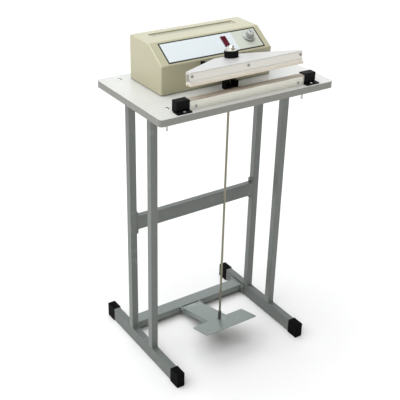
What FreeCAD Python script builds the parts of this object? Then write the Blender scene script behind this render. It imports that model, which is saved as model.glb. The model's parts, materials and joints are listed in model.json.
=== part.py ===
import FreeCAD, Part
import os
import re
import Sketcher

# A foot pedal heat sealer: a table on a tube stand, an electrical housing with a hinged
# sealing jaw on top, and a pull rod that joins the jaw to a pedal near the floor.
# Millimetres. +X right, +Y away from the user, +Z up, origin on the floor at the middle.

doc = FreeCAD.newDocument("foot_pedal_sealer")
sheet = doc.addObject("Spreadsheet::Sheet", "sizes")

SIZES = {
    # Table
    "table_width": 520,
    "table_depth": 310,
    "table_height": 785,
    "table_place": -21,
    "board_thickness": 17,
    "corner_radius": 9,
    "band_thickness": 1,
    # Stand
    "tube_width": 20,
    "tube_wall": 1.5,
    "tube_round": 2,
    "rail_height": 40,
    "rail_spacing": 414,
    "foot_length": 396,
    "cap_length": 37,
    "cap_wall": 1.5,
    "cap_round": 1.2,
    "front_post_place": -50.6,
    "rear_post_place": 58.3,
    "top_rail_length": 256,
    "top_rail_place": -1,
    "crossbar_height": 40,
    "mid_crossbar_place": 389,
    "lower_crossbar_place": 97.5,
    "flange_thickness": 4,
    "flange_margin": 12,
    # Bolts
    "bolt_size": 6,
    "bolt_clearance": 0.3,
    "bolt_head_width": 11,
    "bolt_head_height": 3.5,
    "crossbar_bolt_length": 14,
    "table_bolt_length": 57,
    "table_head_height": 1.8,
    "front_bolt_inset": 9.5,
    "rear_bolt_inset": 18,
    "nut_width": 10,
    "nut_height": 5,
    "washer_width": 13,
    "washer_thickness": 1.2,
    "screw_size": 4,
    "screw_head_width": 7.4,
    "screw_head_height": 2.2,
    "screw_length": 8,
    # Jaws
    "jaw_place": -147,
    "bar_depth": 17,
    "bar_wall": 2,
    "lower_bar_height": 24,
    "bar_recess": 25,
    "lower_jaw_shift": 4,
    "lower_screw_inset": 19,
    "backing_width": 10,
    "backing_thickness": 0.8,
    "heater_width": 3,
    "heater_thickness": 0.3,
    "cloth_thickness": 0.3,
    "cloth_flap": 2,
    "jaw_clearance": 0.3,
    "silicone_height": 5,
    "silicone_stand": 1.3,
    "holder_height": 8,
    "holder_lip": 2.5,
    "holder_overhang": 1,
    "jaw_side_gap": 1,
    "upper_bar_height": 21,
    "jaw_screw_inset": 6,
    "jaw_screw_height": 15,
    "plate_thickness": 3,
    "plate_depth": 87,
    "plate_rear_width": 80,
    "jaw_lift": 7.66,
    "jaw_pivot_place": 72,
    "jaw_pivot_height": 45,
    # Arms and their pivot
    "arm_spacing": 124,
    "arm_thickness": 6,
    "arm_height": 14,
    "arm_eye_radius": 11,
    "arm_tail": 20,
    "arm_drop": 5,
    "pivot_diameter": 12,
    "running_clearance": 0.05,
    "side_clearance": 0.4,
    "bracket_thickness": 3,
    "bracket_depth": 50,
    "bracket_offset": 2,
    "upright_depth": 36,
    "bracket_foot": 22,
    "spring_wire": 1.2,
    "spring_radius": 5.2,
    "spring_hole": 4,
    "tab_depth": 10,
    "tab_margin": 5,
    "bracket_rise": 24,
    "bracket_inward": 12,
    "shaft_stand": 3,
    "anchor_height": 8.5,
    # End covers
    "cover_spacing": 382,
    "cover_length": 36,
    "cover_wall": 2,
    "cover_gap": 0.5,
    "cover_height": 28,
    "cover_flange": 12,
    "cover_ear": 4,
    "cover_flange_thickness": 3,
    "cover_round": 1.5,
    "terminal_height": 21,
    "terminal_width": 12,
    "terminal_depth": 10,
    "terminal_gap": 3.5,
    "strip_overhang": 1,
    "strip_drop": 4,
    # Rod
    "rod_diameter": 6,
    "knob_place": -86,
    "knob_diameter": 35.5,
    "knob_height": 17,
    "knob_bore": 15,
    "seat_gap": 0.3,
    "seat_width": 33,
    "seat_thickness": 1.6,
    "seat_bore": 16,
    "dome_radius": 8.5,
    "dome_height": 7.5,
    "dome_crown": 10,
    "coupling_width": 9,
    "coupling_length": 28,
    "coupling_overlap": 12,
    "end_nut_radius": 7.5,
    "end_nut_height": 9,
    "guide_width": 38,
    "guide_depth": 20,
    "guide_height": 20.5,
    "guide_notch": 12.5,
    "guide_notch_width": 17,
    "guide_slot_width": 7,
    "guide_slot_length": 15,
    "guide_rounding": 2,
    # Pedal
    "pedal_pivot_place": 67,
    "pedal_pivot_height": 24,
    "pedal_tilt": 15,
    "pedal_rise": 6.5,
    "pedal_thickness": 2,
    "pedal_reach": 219,
    "pedal_tread_depth": 75,
    "pedal_tread_width": 173,
    "pedal_corner": 4,
    "pedal_neck_width": 62,
    "pedal_flange": 12.5,
    "pedal_pin_diameter": 8,
    "pedal_pin_head": 12,
    "pedal_pin_head_length": 2.5,
    "pedal_hole": 9,
    "pedal_slot_length": 13,
    "pedal_slot_offset": 1,
    "lug_thickness": 4,
    "lug_height": 18,
    # Housing
    "housing_width": 332,
    "housing_place": -14,
    "housing_front": -48.5,
    "housing_rear": 103.6,
    "housing_height": 115,
    "housing_slope_start": 14.1,
    "housing_front_height": 74,
    "housing_gap": 2,
    "housing_wall": 1.2,
    "housing_bend": 4,
    "foot_height": 3,
    "foot_width": 16,
    "foot_inset": 22,
    "panel_cut": 10,
    "base_thickness": 1.5,
    "base_flange": 12,
    "arm_slot_clearance": 2.5,
    "arm_slot_bottom": 30,
    "arm_slot_top": 71,
    "groove_length": 256,
    "groove_width": 26,
    "groove_depth": 3,
    "groove_place": 67,
    # Label, switch and timer on the slope
    "label_width": 290,
    "label_height": 64,
    "label_thickness": 0.6,
    "label_place": -11,
    "label_offset": 37,
    "switch_place": 28,
    "switch_offset": 40,
    "switch_length": 33,
    "switch_width": 16,
    "switch_rim": 2,
    "switch_rim_height": 2,
    "switch_depth": 20,
    "switch_cavity": 7,
    "switch_wall": 1,
    "rocker_angle": 8,
    "rocker_gap": 0.4,
    "rocker_height": 4.4,
    "rocker_dip": 1.5,
    "rocker_depth": 3.4,
    "rocker_heel": 5,
    "rocker_side": 1,
    "dial_place": 101,
    "dial_offset": 41,
    "dial_skirt": 30,
    "dial_grip": 20,
    "dial_height": 16,
    "dial_shaft": 6,
    "dial_crown": 4,
    "dial_skirt_edge": 1.5,
    "shaft_depth": 4,
    "bush_wall": 2,
    "bush_stand": 2.5,
    "control_nut_width": 14,
    "control_nut_height": 2,
    "control_width": 17,
    "control_depth": 10,
    "circuit_width": 64,
    "circuit_height": 46,
    "circuit_thickness": 1.6,
    "circuit_shift": -4,
    "relay_width": 19,
    "relay_depth": 15,
    "relay_height": 15,
    "relay_place": -16,
    "capacitor_diameter": 10,
    "capacitor_height": 14,
    "capacitor_place": 14,
    # Other inner pieces
    "transformer_place": -125,
    "transformer_width": 72,
    "transformer_depth": 36,
    "transformer_height": 60,
    "coil_width": 40,
    "coil_bulge": 9,
    "core_yoke": 12,
    "microswitch_length": 20,
    "microswitch_height": 9,
    "microswitch_place": -7,
    "plunger_diameter": 3,
    "plunger_place": 10,
    "gland_place": -140,
    "gland_height": 30,
    "gland_width": 18,
    "gland_bore": 8,
    "gland_length": 14,
    "gland_wall": 2,
    "gland_flange": 5,
    "gland_nut": 4,
    "gland_thread": 6,
}
for row, (alias, value) in enumerate(SIZES.items(), start=1):
    sheet.set("A%d" % row, alias)
    sheet.set("B%d" % row, str(value))
    sheet.setAlias("B%d" % row, alias)
doc.recompute()

PARTS = {}
X_AXIS = FreeCAD.Vector(1, 0, 0)
Y_AXIS = FreeCAD.Vector(0, 1, 0)
Z_AXIS = FreeCAD.Vector(0, 0, 1)


def formula(text):
    """An expression in which each size's name points at its cell."""
    return re.sub(r"[a-z_]+", lambda word: "sizes." + word.group() if word.group() in SIZES
                  else word.group(), text)


def number(text):
    """The present value of an expression."""
    result = sheet.evalExpression(formula(text))
    return float(getattr(result, "Value", result))


def bind(piece, **values):
    for name, text in values.items():
        piece.setExpression(name, formula(text))


def place(piece, x="0", y="0", z="0", turn=None):
    if turn:
        piece.Placement = FreeCAD.Placement(FreeCAD.Vector(), turn)
    for axis, text in zip("xyz", (x, y, z)):
        piece.setExpression(".Placement.Base." + axis, formula(text))


def box(name, size, corner):
    """A block from its low corner."""
    piece = doc.addObject("Part::Box", name)
    bind(piece, Length=size[0], Width=size[1], Height=size[2])
    place(piece, *corner)
    return piece


TURNS = {
    "+X": FreeCAD.Rotation(Y_AXIS, 90),
    "-X": FreeCAD.Rotation(Y_AXIS, -90),
    "+Y": FreeCAD.Rotation(X_AXIS, -90),
    "-Y": FreeCAD.Rotation(X_AXIS, 90),
    "+Z": FreeCAD.Rotation(),
    "-Z": FreeCAD.Rotation(X_AXIS, 180),
}


def rod(name, diameter, length, start, direction="+Z"):
    """A round bar from the middle of its first end."""
    piece = doc.addObject("Part::Cylinder", name)
    bind(piece, Radius="(%s) / 2" % diameter, Height=length)
    place(piece, *start, turn=TURNS[direction])
    return piece


def prism(name, width, length, start, direction="+Z"):
    """A hexagonal bar, sized across its flats."""
    piece = doc.addObject("Part::Prism", name)
    piece.Polygon = 6
    bind(piece, Circumradius="(%s) / 2 / cos(30)" % width, Height=length)
    place(piece, *start, turn=TURNS[direction])
    return piece


def cut(name, base, *tools):
    for count, tool in enumerate(tools, start=1):
        piece = doc.addObject("Part::Cut", "%s_cut_%d" % (name, count))
        piece.Base = base
        piece.Tool = tool
        base = piece
    return base


def fuse(name, *pieces):
    piece = doc.addObject("Part::MultiFuse", name + "_fuse")
    piece.Shapes = list(pieces)
    return piece


def common(name, first, second):
    piece = doc.addObject("Part::MultiCommon", name + "_common")
    piece.Shapes = [first, second]
    return piece


def group(name, pieces):
    piece = doc.addObject("Part::Compound", name + "_group")
    piece.Links = list(pieces)
    return piece


def body(name):
    return doc.addObject("PartDesign::Body", name + "_body")


def origin_plane(owner, role):
    return [item for item in owner.Origin.OriginFeatures if item.Role == role][0]


def sketch(owner, name, role):
    piece = owner.newObject("Sketcher::SketchObject", name)
    piece.AttachmentSupport = [(origin_plane(owner, role), "")]
    piece.MapMode = "FlatFace"
    return piece


def pin_point(drawing, geometry, end, across, up):
    """Hold one point of a sketch at two formulas, measured from its origin."""
    for kind, text in (("DistanceX", across), ("DistanceY", up)):
        index = drawing.addConstraint(
            Sketcher.Constraint(kind, -1, 1, geometry, end, number(text)))
        drawing.setExpression("Constraints[%d]" % index, formula(text))


def draw_outline(drawing, corners):
    """A closed line through corners, each given by two formulas."""
    points = [FreeCAD.Vector(number(across), number(up), 0) for across, up in corners]
    first = drawing.GeometryCount
    count = len(points)
    for index in range(count):
        drawing.addGeometry(Part.LineSegment(points[index], points[(index + 1) % count]))
    for index in range(count):
        after = (index + 1) % count
        drawing.addConstraint(
            Sketcher.Constraint("Coincident", first + index, 2, first + after, 1))
    for index, (across, up) in enumerate(corners):
        pin_point(drawing, first + index, 1, across, up)


def draw_circle(drawing, across, up, diameter):
    centre = FreeCAD.Vector(number(across), number(up), 0)
    index = drawing.addGeometry(Part.Circle(centre, Z_AXIS, number(diameter) / 2))
    pin_point(drawing, index, 3, across, up)
    constraint = drawing.addConstraint(Sketcher.Constraint("Diameter", index, number(diameter)))
    drawing.setExpression("Constraints[%d]" % constraint, formula(diameter))


def pad(owner, drawing, length, midplane=False):
    feature = owner.newObject("PartDesign::Pad", drawing.Name + "_pad")
    feature.Profile = drawing
    feature.Midplane = midplane
    bind(feature, Length=length)
    doc.recompute()
    return feature


def pocket_through(owner, drawing):
    """Cut a sketch through the whole body, both ways from its plane."""
    feature = owner.newObject("PartDesign::Pocket", drawing.Name + "_pocket")
    feature.Profile = drawing
    feature.Type = "ThroughAll"
    feature.Midplane = True
    doc.recompute()
    return feature


def turned(name, corners):
    """A solid of revolution about its own Z axis, from radius and height pairs."""
    owner = body(name)
    drawing = sketch(owner, name + "_profile", "XZ_Plane")
    draw_outline(drawing, corners)
    feature = owner.newObject("PartDesign::Revolution", name + "_turn")
    feature.Profile = drawing
    feature.ReferenceAxis = (drawing, ["V_Axis"])
    feature.Angle = 360
    doc.recompute()
    return owner


def round_edges(owner, radius, chosen):
    """Fillet the edges of a body that a test picks."""
    tip = owner.Tip
    names = ["Edge%d" % index for index, edge in enumerate(tip.Shape.Edges, start=1)
             if chosen(edge)]
    feature = owner.newObject("PartDesign::Fillet", owner.Name + "_fillet")
    feature.Base = (tip, names)
    bind(feature, Radius=radius)
    doc.recompute()
    return feature


def along(edge, axis):
    """Whether an edge is straight and runs along an axis."""
    if not isinstance(edge.Curve, Part.Line):
        return False
    return abs(abs(edge.Curve.Direction.dot(axis)) - 1) < 1e-6


def eased(name, base, size, chosen):
    """Round the edges of a block that a test picks."""
    piece = doc.addObject("Part::Fillet", name + "_round")
    piece.Base = base
    doc.recompute()
    radius = number(size)
    piece.Edges = [(index, radius, radius)
                   for index, edge in enumerate(base.Shape.Edges, start=1) if chosen(edge)]
    return piece


def swing(piece, angle, pivot_y, pivot_z):
    """Turn a placed piece about a line along X through a pivot."""
    doc.recompute()
    present = piece.Placement
    for axis in "xyz":
        piece.setExpression(".Placement.Base." + axis, None)
    pivot = FreeCAD.Vector(0, number(pivot_y), number(pivot_z))
    turn = FreeCAD.Placement(
        FreeCAD.Vector(), FreeCAD.Rotation(X_AXIS, number(angle)), pivot)
    piece.Placement = turn.multiply(present)


def keep(node, piece):
    """Name a finished sub-part."""
    piece.Label = node
    PARTS[node] = piece
    return piece


def tube(name, size, corner, axis):
    """A square or oblong tube with round corners, open at both ends along its axis."""
    way = (X_AXIS, Y_AXIS, Z_AXIS)[axis]
    outer = eased(name, box(name + "_outer", size, corner), "tube_round",
                  lambda edge: along(edge, way))
    inner_size = [text if index == axis else "%s - 2 * tube_wall" % text
                  for index, text in enumerate(size)]
    inner_corner = [text if index == axis else "%s + tube_wall" % text
                    for index, text in enumerate(corner)]
    inner = box(name + "_inner", inner_size, inner_corner)
    return cut(name, outer, inner)


# Heights that several pieces share
RAIL_BOTTOM = "cap_wall"
RAIL_TOP = "(cap_wall + rail_height)"
BOARD_BOTTOM = "(table_height - board_thickness)"
TOP_RAIL_BOTTOM = "(table_height - board_thickness - tube_width)"
SIDES = {"left": "-1", "right": "1"}
HOLE = "bolt_size + 2 * bolt_clearance"
BOLT_PLACES = {
    "front": "(top_rail_place - top_rail_length / 2 + front_bolt_inset)",
    "rear": "(top_rail_place + top_rail_length / 2 - rear_bolt_inset)",
}


def rail_side(side):
    """Low X face of a side's tubes."""
    return "%s * rail_spacing / 2 - tube_width / 2" % SIDES[side]


# Foot rails: oblong tubes along Y, each closed by moulded caps that touch the floor
def foot_rail(side):
    rail = tube(side + "_foot_rail",
                ("tube_width", "foot_length - 2 * cap_wall", "rail_height"),
                (rail_side(side), "cap_wall - foot_length / 2", RAIL_BOTTOM), 1)
    inner = "%s * (rail_spacing / 2 - tube_width)" % SIDES[side]
    holes = [rod("%s_rail_hole_%d" % (side, end), HOLE, "tube_width",
                 (inner, "lower_crossbar_place + %d * (crossbar_height + flange_margin) / 2" % end,
                  "cap_wall + rail_height / 2"), "+X" if side == "right" else "-X")
             for end in (-1, 1)]
    return cut(side + "_rail_holed", rail, *holes)


for side in SIDES:
    keep(side + "_foot_rail", foot_rail(side))


def rail_cap(side, end):
    """A sleeve with a closed end over the end of a rail."""
    name = "%s_cap_%s" % (side, "rear" if end > 0 else "front")
    near = "foot_length / 2 - cap_length" if end > 0 else "-foot_length / 2"
    hollow = "foot_length / 2 - cap_length" if end > 0 else "cap_wall - foot_length / 2"
    block = box(name + "_outer",
                ("tube_width + 2 * cap_wall", "cap_length", "rail_height + 2 * cap_wall"),
                (rail_side(side) + " - cap_wall", near, "0"))
    outer_end = number("foot_length / 2") * end
    outer = eased(name, block, "cap_round",
                  lambda edge: abs(edge.CenterOfMass.y - outer_end) < 0.01)
    inner = box(name + "_inner", ("tube_width", "cap_length - cap_wall", "rail_height"),
                (rail_side(side), hollow, "cap_wall"))
    return cut(name, outer, inner)


keep("rail_end_caps", group("rail_end_caps", [rail_cap(side, end)
                                              for side in SIDES for end in (-1, 1)]))


# Posts: two square tubes on each side, from the foot rail up to the top rail
def post(side, end):
    name = "%s_%s_post" % (side, end)
    piece = tube(name, ("tube_width", "tube_width", TOP_RAIL_BOTTOM + " - " + RAIL_TOP),
                 (rail_side(side), end + "_post_place - tube_width / 2", RAIL_TOP), 2)
    if end == "front":
        return piece
    inner = "%s * (rail_spacing / 2 - tube_width)" % SIDES[side]
    holes = [rod("%s_post_hole_%d" % (side, way), HOLE, "tube_width",
                 (inner, "rear_post_place",
                  "mid_crossbar_place + %d * (crossbar_height + flange_margin) / 2" % way),
                 "+X" if side == "right" else "-X") for way in (-1, 1)]
    return cut(name + "_holed", piece, *holes)


for side in SIDES:
    for end in ("front", "rear"):
        keep("%s_%s_post" % (side, end), post(side, end))


# Top rails: square tubes along Y under the table, bored for the table bolts
def top_rail(side):
    rail = tube(side + "_top_rail", ("tube_width", "top_rail_length", "tube_width"),
                (rail_side(side), "top_rail_place - top_rail_length / 2", TOP_RAIL_BOTTOM), 1)
    holes = [rod("%s_top_hole_%s" % (side, end), HOLE, "tube_width",
                 ("%s * rail_spacing / 2" % SIDES[side], y, TOP_RAIL_BOTTOM))
             for end, y in BOLT_PLACES.items()]
    return cut(side + "_top_rail_holed", rail, *holes)


for side in SIDES:
    keep(side + "_top_rail", top_rail(side))


# Crossbars: oblong tubes with a welded end plate, bolted between the two sides
INNER_WIDTH = "(rail_spacing - tube_width)"


def crossbar(name, depth, height, place_y, place_z, holes_along):
    bar = tube(name, (INNER_WIDTH + " - 2 * flange_thickness", depth, height),
               ("flange_thickness - %s / 2" % INNER_WIDTH, "%s - %s / 2" % (place_y, depth),
                "%s - %s / 2" % (place_z, height)), 0)
    plates = []
    for side, sign in SIDES.items():
        start = "%s * %s / 2" % (sign, INNER_WIDTH)
        if side == "right":
            start += " - flange_thickness"
        plate_depth = depth + (" + 2 * flange_margin" if holes_along == "y" else "")
        plate_height = height + (" + 2 * flange_margin" if holes_along == "z" else "")
        plate = box("%s_%s_plate" % (name, side),
                    ("flange_thickness", plate_depth, plate_height),
                    (start, "%s - (%s) / 2" % (place_y, plate_depth),
                     "%s - (%s) / 2" % (place_z, plate_height)))
        holes = []
        for way in (-1, 1):
            shift = "%d * (crossbar_height + flange_margin) / 2" % way
            y = place_y + (" + " + shift if holes_along == "y" else "")
            z = place_z + (" + " + shift if holes_along == "z" else "")
            holes.append(rod("%s_%s_hole_%d" % (name, side, way), HOLE, "flange_thickness",
                             (start, y, z), "+X"))
        plates.append(cut("%s_%s_plate_holed" % (name, side), plate, *holes))
    return fuse(name, bar, *plates)


RAIL_MIDDLE = "(cap_wall + rail_height / 2)"
keep("mid_crossbar", crossbar("mid_crossbar", "tube_width", "crossbar_height",
                              "rear_post_place", "mid_crossbar_place", "z"))
keep("lower_crossbar", crossbar("lower_crossbar", "crossbar_height", "tube_width",
                                "lower_crossbar_place", RAIL_MIDDLE, "y"))


def bolt(name, start, direction, length, head_width="bolt_head_width",
         head_height="bolt_head_height", size="bolt_size"):
    """A round-headed bolt, whose head stands on the start point, against direction."""
    piece = turned(name, (
        ("0", "(%s)" % length),
        ("(%s) / 2" % size, "(%s)" % length),
        ("(%s) / 2" % size, "0"),
        ("(%s) / 2" % head_width, "0"),
        ("(%s) / 2" % head_width, "-0.5 * (%s)" % head_height),
        ("0.3 * (%s)" % head_width, "-1 * (%s)" % head_height),
        ("0", "-1 * (%s)" % head_height)))
    place(piece, *start, turn=TURNS[direction])
    return piece


def crossbar_bolts():
    bolts = []
    for side, sign in SIDES.items():
        x = "%s * (%s / 2 - flange_thickness)" % (sign, INNER_WIDTH)
        direction = "+X" if side == "right" else "-X"
        for way in (-1, 1):
            shift = "%d * (crossbar_height + flange_margin) / 2" % way
            tag = "%s_%s" % (side, "high" if way > 0 else "low")
            bolts.append(bolt("mid_bolt_" + tag,
                              (x, "rear_post_place", "mid_crossbar_place + " + shift),
                              direction, "crossbar_bolt_length"))
            bolts.append(bolt("foot_bolt_" + tag,
                              (x, "lower_crossbar_place + " + shift, RAIL_MIDDLE),
                              direction, "crossbar_bolt_length"))
    return group("crossbar_bolts", bolts)


keep("crossbar_bolts", crossbar_bolts())


# Table: a faced board with an edge band, bored for its four bolts and for the rod
ROD_PLACE = ("(jaw_pivot_place + (knob_place - jaw_pivot_place) * cos(jaw_lift)"
             " + (%s - jaw_pivot_height) * sin(jaw_lift))")
PLATE_TOP = ("(lower_bar_height + backing_thickness + heater_thickness + cloth_thickness"
             " + jaw_clearance + silicone_stand + holder_height + upper_bar_height"
             " + plate_thickness)")
SEAT_DEPTH = "sqrt(dome_radius ^ 2 - (seat_bore / 2) ^ 2)"
SEAT_TOP = "(%s + 2 * seat_gap + knob_height + seat_thickness)" % PLATE_TOP
ROD_JOINT = "(%s + %s + running_clearance)" % (SEAT_TOP, SEAT_DEPTH)
ROD_PLACE = ROD_PLACE % ROD_JOINT


def rounded_board(name, inset):
    """The table's outline with round corners, inset from its edge."""
    owner = body(name)
    drawing = sketch(owner, name + "_outline", "XY_Plane")
    x = "(table_width / 2 - %s)" % inset
    front = "(table_place - table_depth / 2 + %s)" % inset
    rear = "(table_place + table_depth / 2 - %s)" % inset
    draw_outline(drawing, (("-" + x, front), (x, front), (x, rear), ("-" + x, rear)))
    pad(owner, drawing, "board_thickness")
    round_edges(owner, "corner_radius - %s" % inset, lambda edge: along(edge, Z_AXIS))
    place(owner, z=BOARD_BOTTOM)
    return owner


def table_holes(name, depth_name):
    tools = []
    for side, sign in SIDES.items():
        for end, y in BOLT_PLACES.items():
            tools.append(rod("%s_%s_%s" % (name, side, end), HOLE, depth_name,
                             ("%s * rail_spacing / 2" % sign, y, BOARD_BOTTOM)))
    return tools


board = rounded_board("table_board", "band_thickness")
ROD_SWAY_MIDDLE = "((knob_place + %s) / 2)" % ROD_PLACE
rod_slot = box("table_rod_slot", ("guide_slot_width", "guide_slot_length", "board_thickness"),
               ("-guide_slot_width / 2", ROD_SWAY_MIDDLE + " - guide_slot_length / 2",
                BOARD_BOTTOM))
keep("table_top", cut("table_top", board, rod_slot, *table_holes("table_hole",
                                                                 "board_thickness")))
keep("table_edge_band", cut("table_edge_band", rounded_board("band_outer", "0"),
                            rounded_board("band_inner", "band_thickness")))


def table_fixings():
    """Bolts through the board and top rail, with a washer and nut underneath."""
    bolts = []
    washers = []
    nuts = []
    for side, sign in SIDES.items():
        for end, y in BOLT_PLACES.items():
            tag = "%s_%s" % (side, end)
            x = "%s * rail_spacing / 2" % sign
            bolts.append(bolt("table_bolt_" + tag, (x, y, "table_height"), "-Z",
                              "table_bolt_length", head_height="table_head_height"))
            disc = rod("washer_disc_" + tag, "washer_width", "washer_thickness",
                       (x, y, TOP_RAIL_BOTTOM + " - washer_thickness"))
            disc_bore = rod("washer_bore_" + tag, HOLE, "washer_thickness",
                            (x, y, TOP_RAIL_BOTTOM + " - washer_thickness"))
            washers.append(cut("washer_" + tag, disc, disc_bore))
            nut_start = (x, y, TOP_RAIL_BOTTOM + " - washer_thickness - nut_height")
            blank = prism("nut_blank_" + tag, "nut_width", "nut_height", nut_start)
            bore = rod("nut_bore_" + tag, "bolt_size", "nut_height", nut_start)
            nuts.append(cut("nut_" + tag, blank, bore))
    return bolts, washers, nuts


table_bolts, table_washers, table_nuts = table_fixings()
keep("table_bolts", group("table_bolts", table_bolts))
keep("table_washers", group("table_washers", table_washers))
keep("table_nuts", group("table_nuts", table_nuts))


# Lower jaw: an aluminium extrusion on the table, with backing, heating strip and cloth
def long_bar(name, length, corners, hollow):
    """An extrusion along X from its section in Y and Z, with one hollow."""
    owner = body(name)
    outline = sketch(owner, name + "_section", "YZ_Plane")
    draw_outline(outline, corners)
    pad(owner, outline, length, midplane=True)
    if hollow:
        core = sketch(owner, name + "_core", "YZ_Plane")
        draw_outline(core, hollow)
        pocket_through(owner, core)
    return owner


JAW_FRONT = "(jaw_place - bar_depth / 2)"
JAW_REAR = "(jaw_place + bar_depth / 2)"
LOWER_TOP = "(table_height + lower_bar_height)"
LOWER_BAR_LENGTH = "(cover_spacing + cover_length - 2 * bar_recess)"
lower_bar = long_bar(
    "lower_bar", LOWER_BAR_LENGTH,
    ((JAW_FRONT, "table_height"), (JAW_REAR, "table_height"), (JAW_REAR, LOWER_TOP),
     (JAW_FRONT, LOWER_TOP), (JAW_FRONT, "table_height + 0.72 * lower_bar_height"),
     (JAW_FRONT + " + 0.4 * bar_wall", "table_height + 0.7 * lower_bar_height"),
     (JAW_FRONT + " + 0.4 * bar_wall", "table_height + 0.66 * lower_bar_height"),
     (JAW_FRONT, "table_height + 0.64 * lower_bar_height")),
    ((JAW_FRONT + " + bar_wall", "table_height + bar_wall"),
     (JAW_REAR + " - bar_wall", "table_height + bar_wall"),
     (JAW_REAR + " - bar_wall", LOWER_TOP + " - bar_wall"),
     (JAW_FRONT + " + bar_wall", LOWER_TOP + " - bar_wall")))
place(lower_bar, x="lower_jaw_shift")
LOWER_SCREW_X = "lower_jaw_shift + %s * ((cover_spacing - cover_length) / 2 - lower_screw_inset)"
LOWER_SCREW_Z = "table_height + lower_bar_height / 3"
lower_screw_holes = [rod("lower_screw_hole_" + side, "screw_size", "bar_wall",
                         (LOWER_SCREW_X % sign, JAW_FRONT, LOWER_SCREW_Z), "+Y")
                     for side, sign in SIDES.items()]
keep("lower_bar", cut("lower_bar", lower_bar, *lower_screw_holes))

keep("backing_strip", box("backing_strip",
                          (LOWER_BAR_LENGTH, "backing_width", "backing_thickness"),
                          ("lower_jaw_shift - %s / 2" % LOWER_BAR_LENGTH,
                           "jaw_place - backing_width / 2", LOWER_TOP)))


def heating_strip():
    """A flat wire along the jaw, whose ends drop onto the terminals."""
    owner = body("heating_strip")
    drawing = sketch(owner, "heating_strip_side", "XZ_Plane")
    run = LOWER_TOP + " + backing_thickness"
    end = "table_height + terminal_height"
    inner = "%s / 2 + strip_overhang" % LOWER_BAR_LENGTH
    bend = inner + " + strip_drop"
    tip = bend + " + terminal_width / 2"
    top = [("-(%s)" % tip, end), ("-(%s)" % bend, end), ("-(%s)" % inner, run),
           (inner, run), (bend, end), (tip, end)]
    lower = [(x, "%s + heater_thickness" % z) for x, z in reversed(top)]
    draw_outline(drawing, top + lower)
    pad(owner, drawing, "heater_width", midplane=True)
    place(owner, x="lower_jaw_shift", y="jaw_place")
    return owner


keep("heating_strip", heating_strip())

CLOTH_TOP = "(%s + backing_thickness + heater_thickness)" % LOWER_TOP
cloth = long_bar(
    "ptfe_cloth", "2 * (cover_spacing / 2 - cover_length / 2) - 2 * cover_gap",
    ((JAW_FRONT + " - cloth_thickness", LOWER_TOP + " - cloth_flap"),
     (JAW_FRONT, LOWER_TOP + " - cloth_flap"),
     (JAW_FRONT, LOWER_TOP),
     ("jaw_place - backing_width / 2", CLOTH_TOP), ("jaw_place + backing_width / 2", CLOTH_TOP),
     (JAW_REAR, LOWER_TOP),
     (JAW_REAR, LOWER_TOP + " - cloth_flap"),
     (JAW_REAR + " + cloth_thickness", LOWER_TOP + " - cloth_flap"),
     (JAW_REAR + " + cloth_thickness", LOWER_TOP + " + cloth_thickness"),
     ("jaw_place + backing_width / 2", CLOTH_TOP + " + cloth_thickness"),
     ("jaw_place - backing_width / 2", CLOTH_TOP + " + cloth_thickness"),
     (JAW_FRONT + " - cloth_thickness", LOWER_TOP + " + cloth_thickness")), None)
place(cloth, x="lower_jaw_shift")
keep("ptfe_cloth", cloth)

keep("heater_terminals", group("heater_terminals", [
    box("terminal_" + side, ("terminal_width", "terminal_depth", "terminal_height"),
        ("lower_jaw_shift - terminal_width / 2"
         " + %s * (%s / 2 + terminal_gap + terminal_width / 2)" % (sign, LOWER_BAR_LENGTH),
         "jaw_place - terminal_depth / 2", "table_height"))
    for side, sign in SIDES.items()]))


# End covers: moulded caps over the ends of the lower jaw, with a flange to the table
def end_cover(side):
    sign = SIDES[side]
    name = side + "_end_cover"
    depth = "(bar_depth + 2 * (cover_wall + cover_gap))"
    low_x = "lower_jaw_shift + %s * cover_spacing / 2 - cover_length / 2" % sign
    shell = box(name + "_shell", ("cover_length", depth, "cover_height"),
                (low_x, "jaw_place - %s / 2" % depth, "table_height"))
    top = number("table_height + cover_height")
    middle = number("lower_jaw_shift")
    reach = number("cover_spacing / 2")
    rounded = eased(name, shell, "cover_round", lambda edge: (
        abs(edge.CenterOfMass.z - top) < 0.01
        or (along(edge, Z_AXIS) and abs(edge.CenterOfMass.x - middle) > reach)))
    flange = box(name + "_flange",
                 ("cover_length", "cover_flange", "cover_flange_thickness"),
                 (low_x, "jaw_place - %s / 2 - cover_flange" % depth, "table_height"))
    ear = box(name + "_ear",
              ("cover_ear", "%s / 2 + cover_flange" % depth, "cover_flange_thickness"),
              ("lower_jaw_shift + %s * (cover_spacing + cover_length + cover_ear) / 2"
               " - cover_ear / 2" % sign,
               "jaw_place - %s / 2 - cover_flange" % depth, "table_height"))
    hollow = box(name + "_hollow",
                 ("cover_length - cover_wall", "bar_depth + 2 * cover_gap",
                  "cover_height - cover_wall"),
                 ("lower_jaw_shift + %s * (cover_spacing - cover_wall) / 2"
                  " - (cover_length - cover_wall) / 2" % sign,
                  "%s - cover_gap" % JAW_FRONT, "table_height"))
    screw_hole = rod(name + "_hole", "screw_size", "cover_flange_thickness",
                     ("lower_jaw_shift + %s * cover_spacing / 2" % sign,
                      "jaw_place - %s / 2 - cover_flange / 2" % depth, "table_height"))
    return cut(name, fuse(name, rounded, flange, ear), hollow, screw_hole)


for side in SIDES:
    keep(side + "_end_cover", end_cover(side))


def screw(name, start, direction):
    return bolt(name, start, direction, "screw_length", "screw_head_width",
                "screw_head_height", "screw_size")


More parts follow.
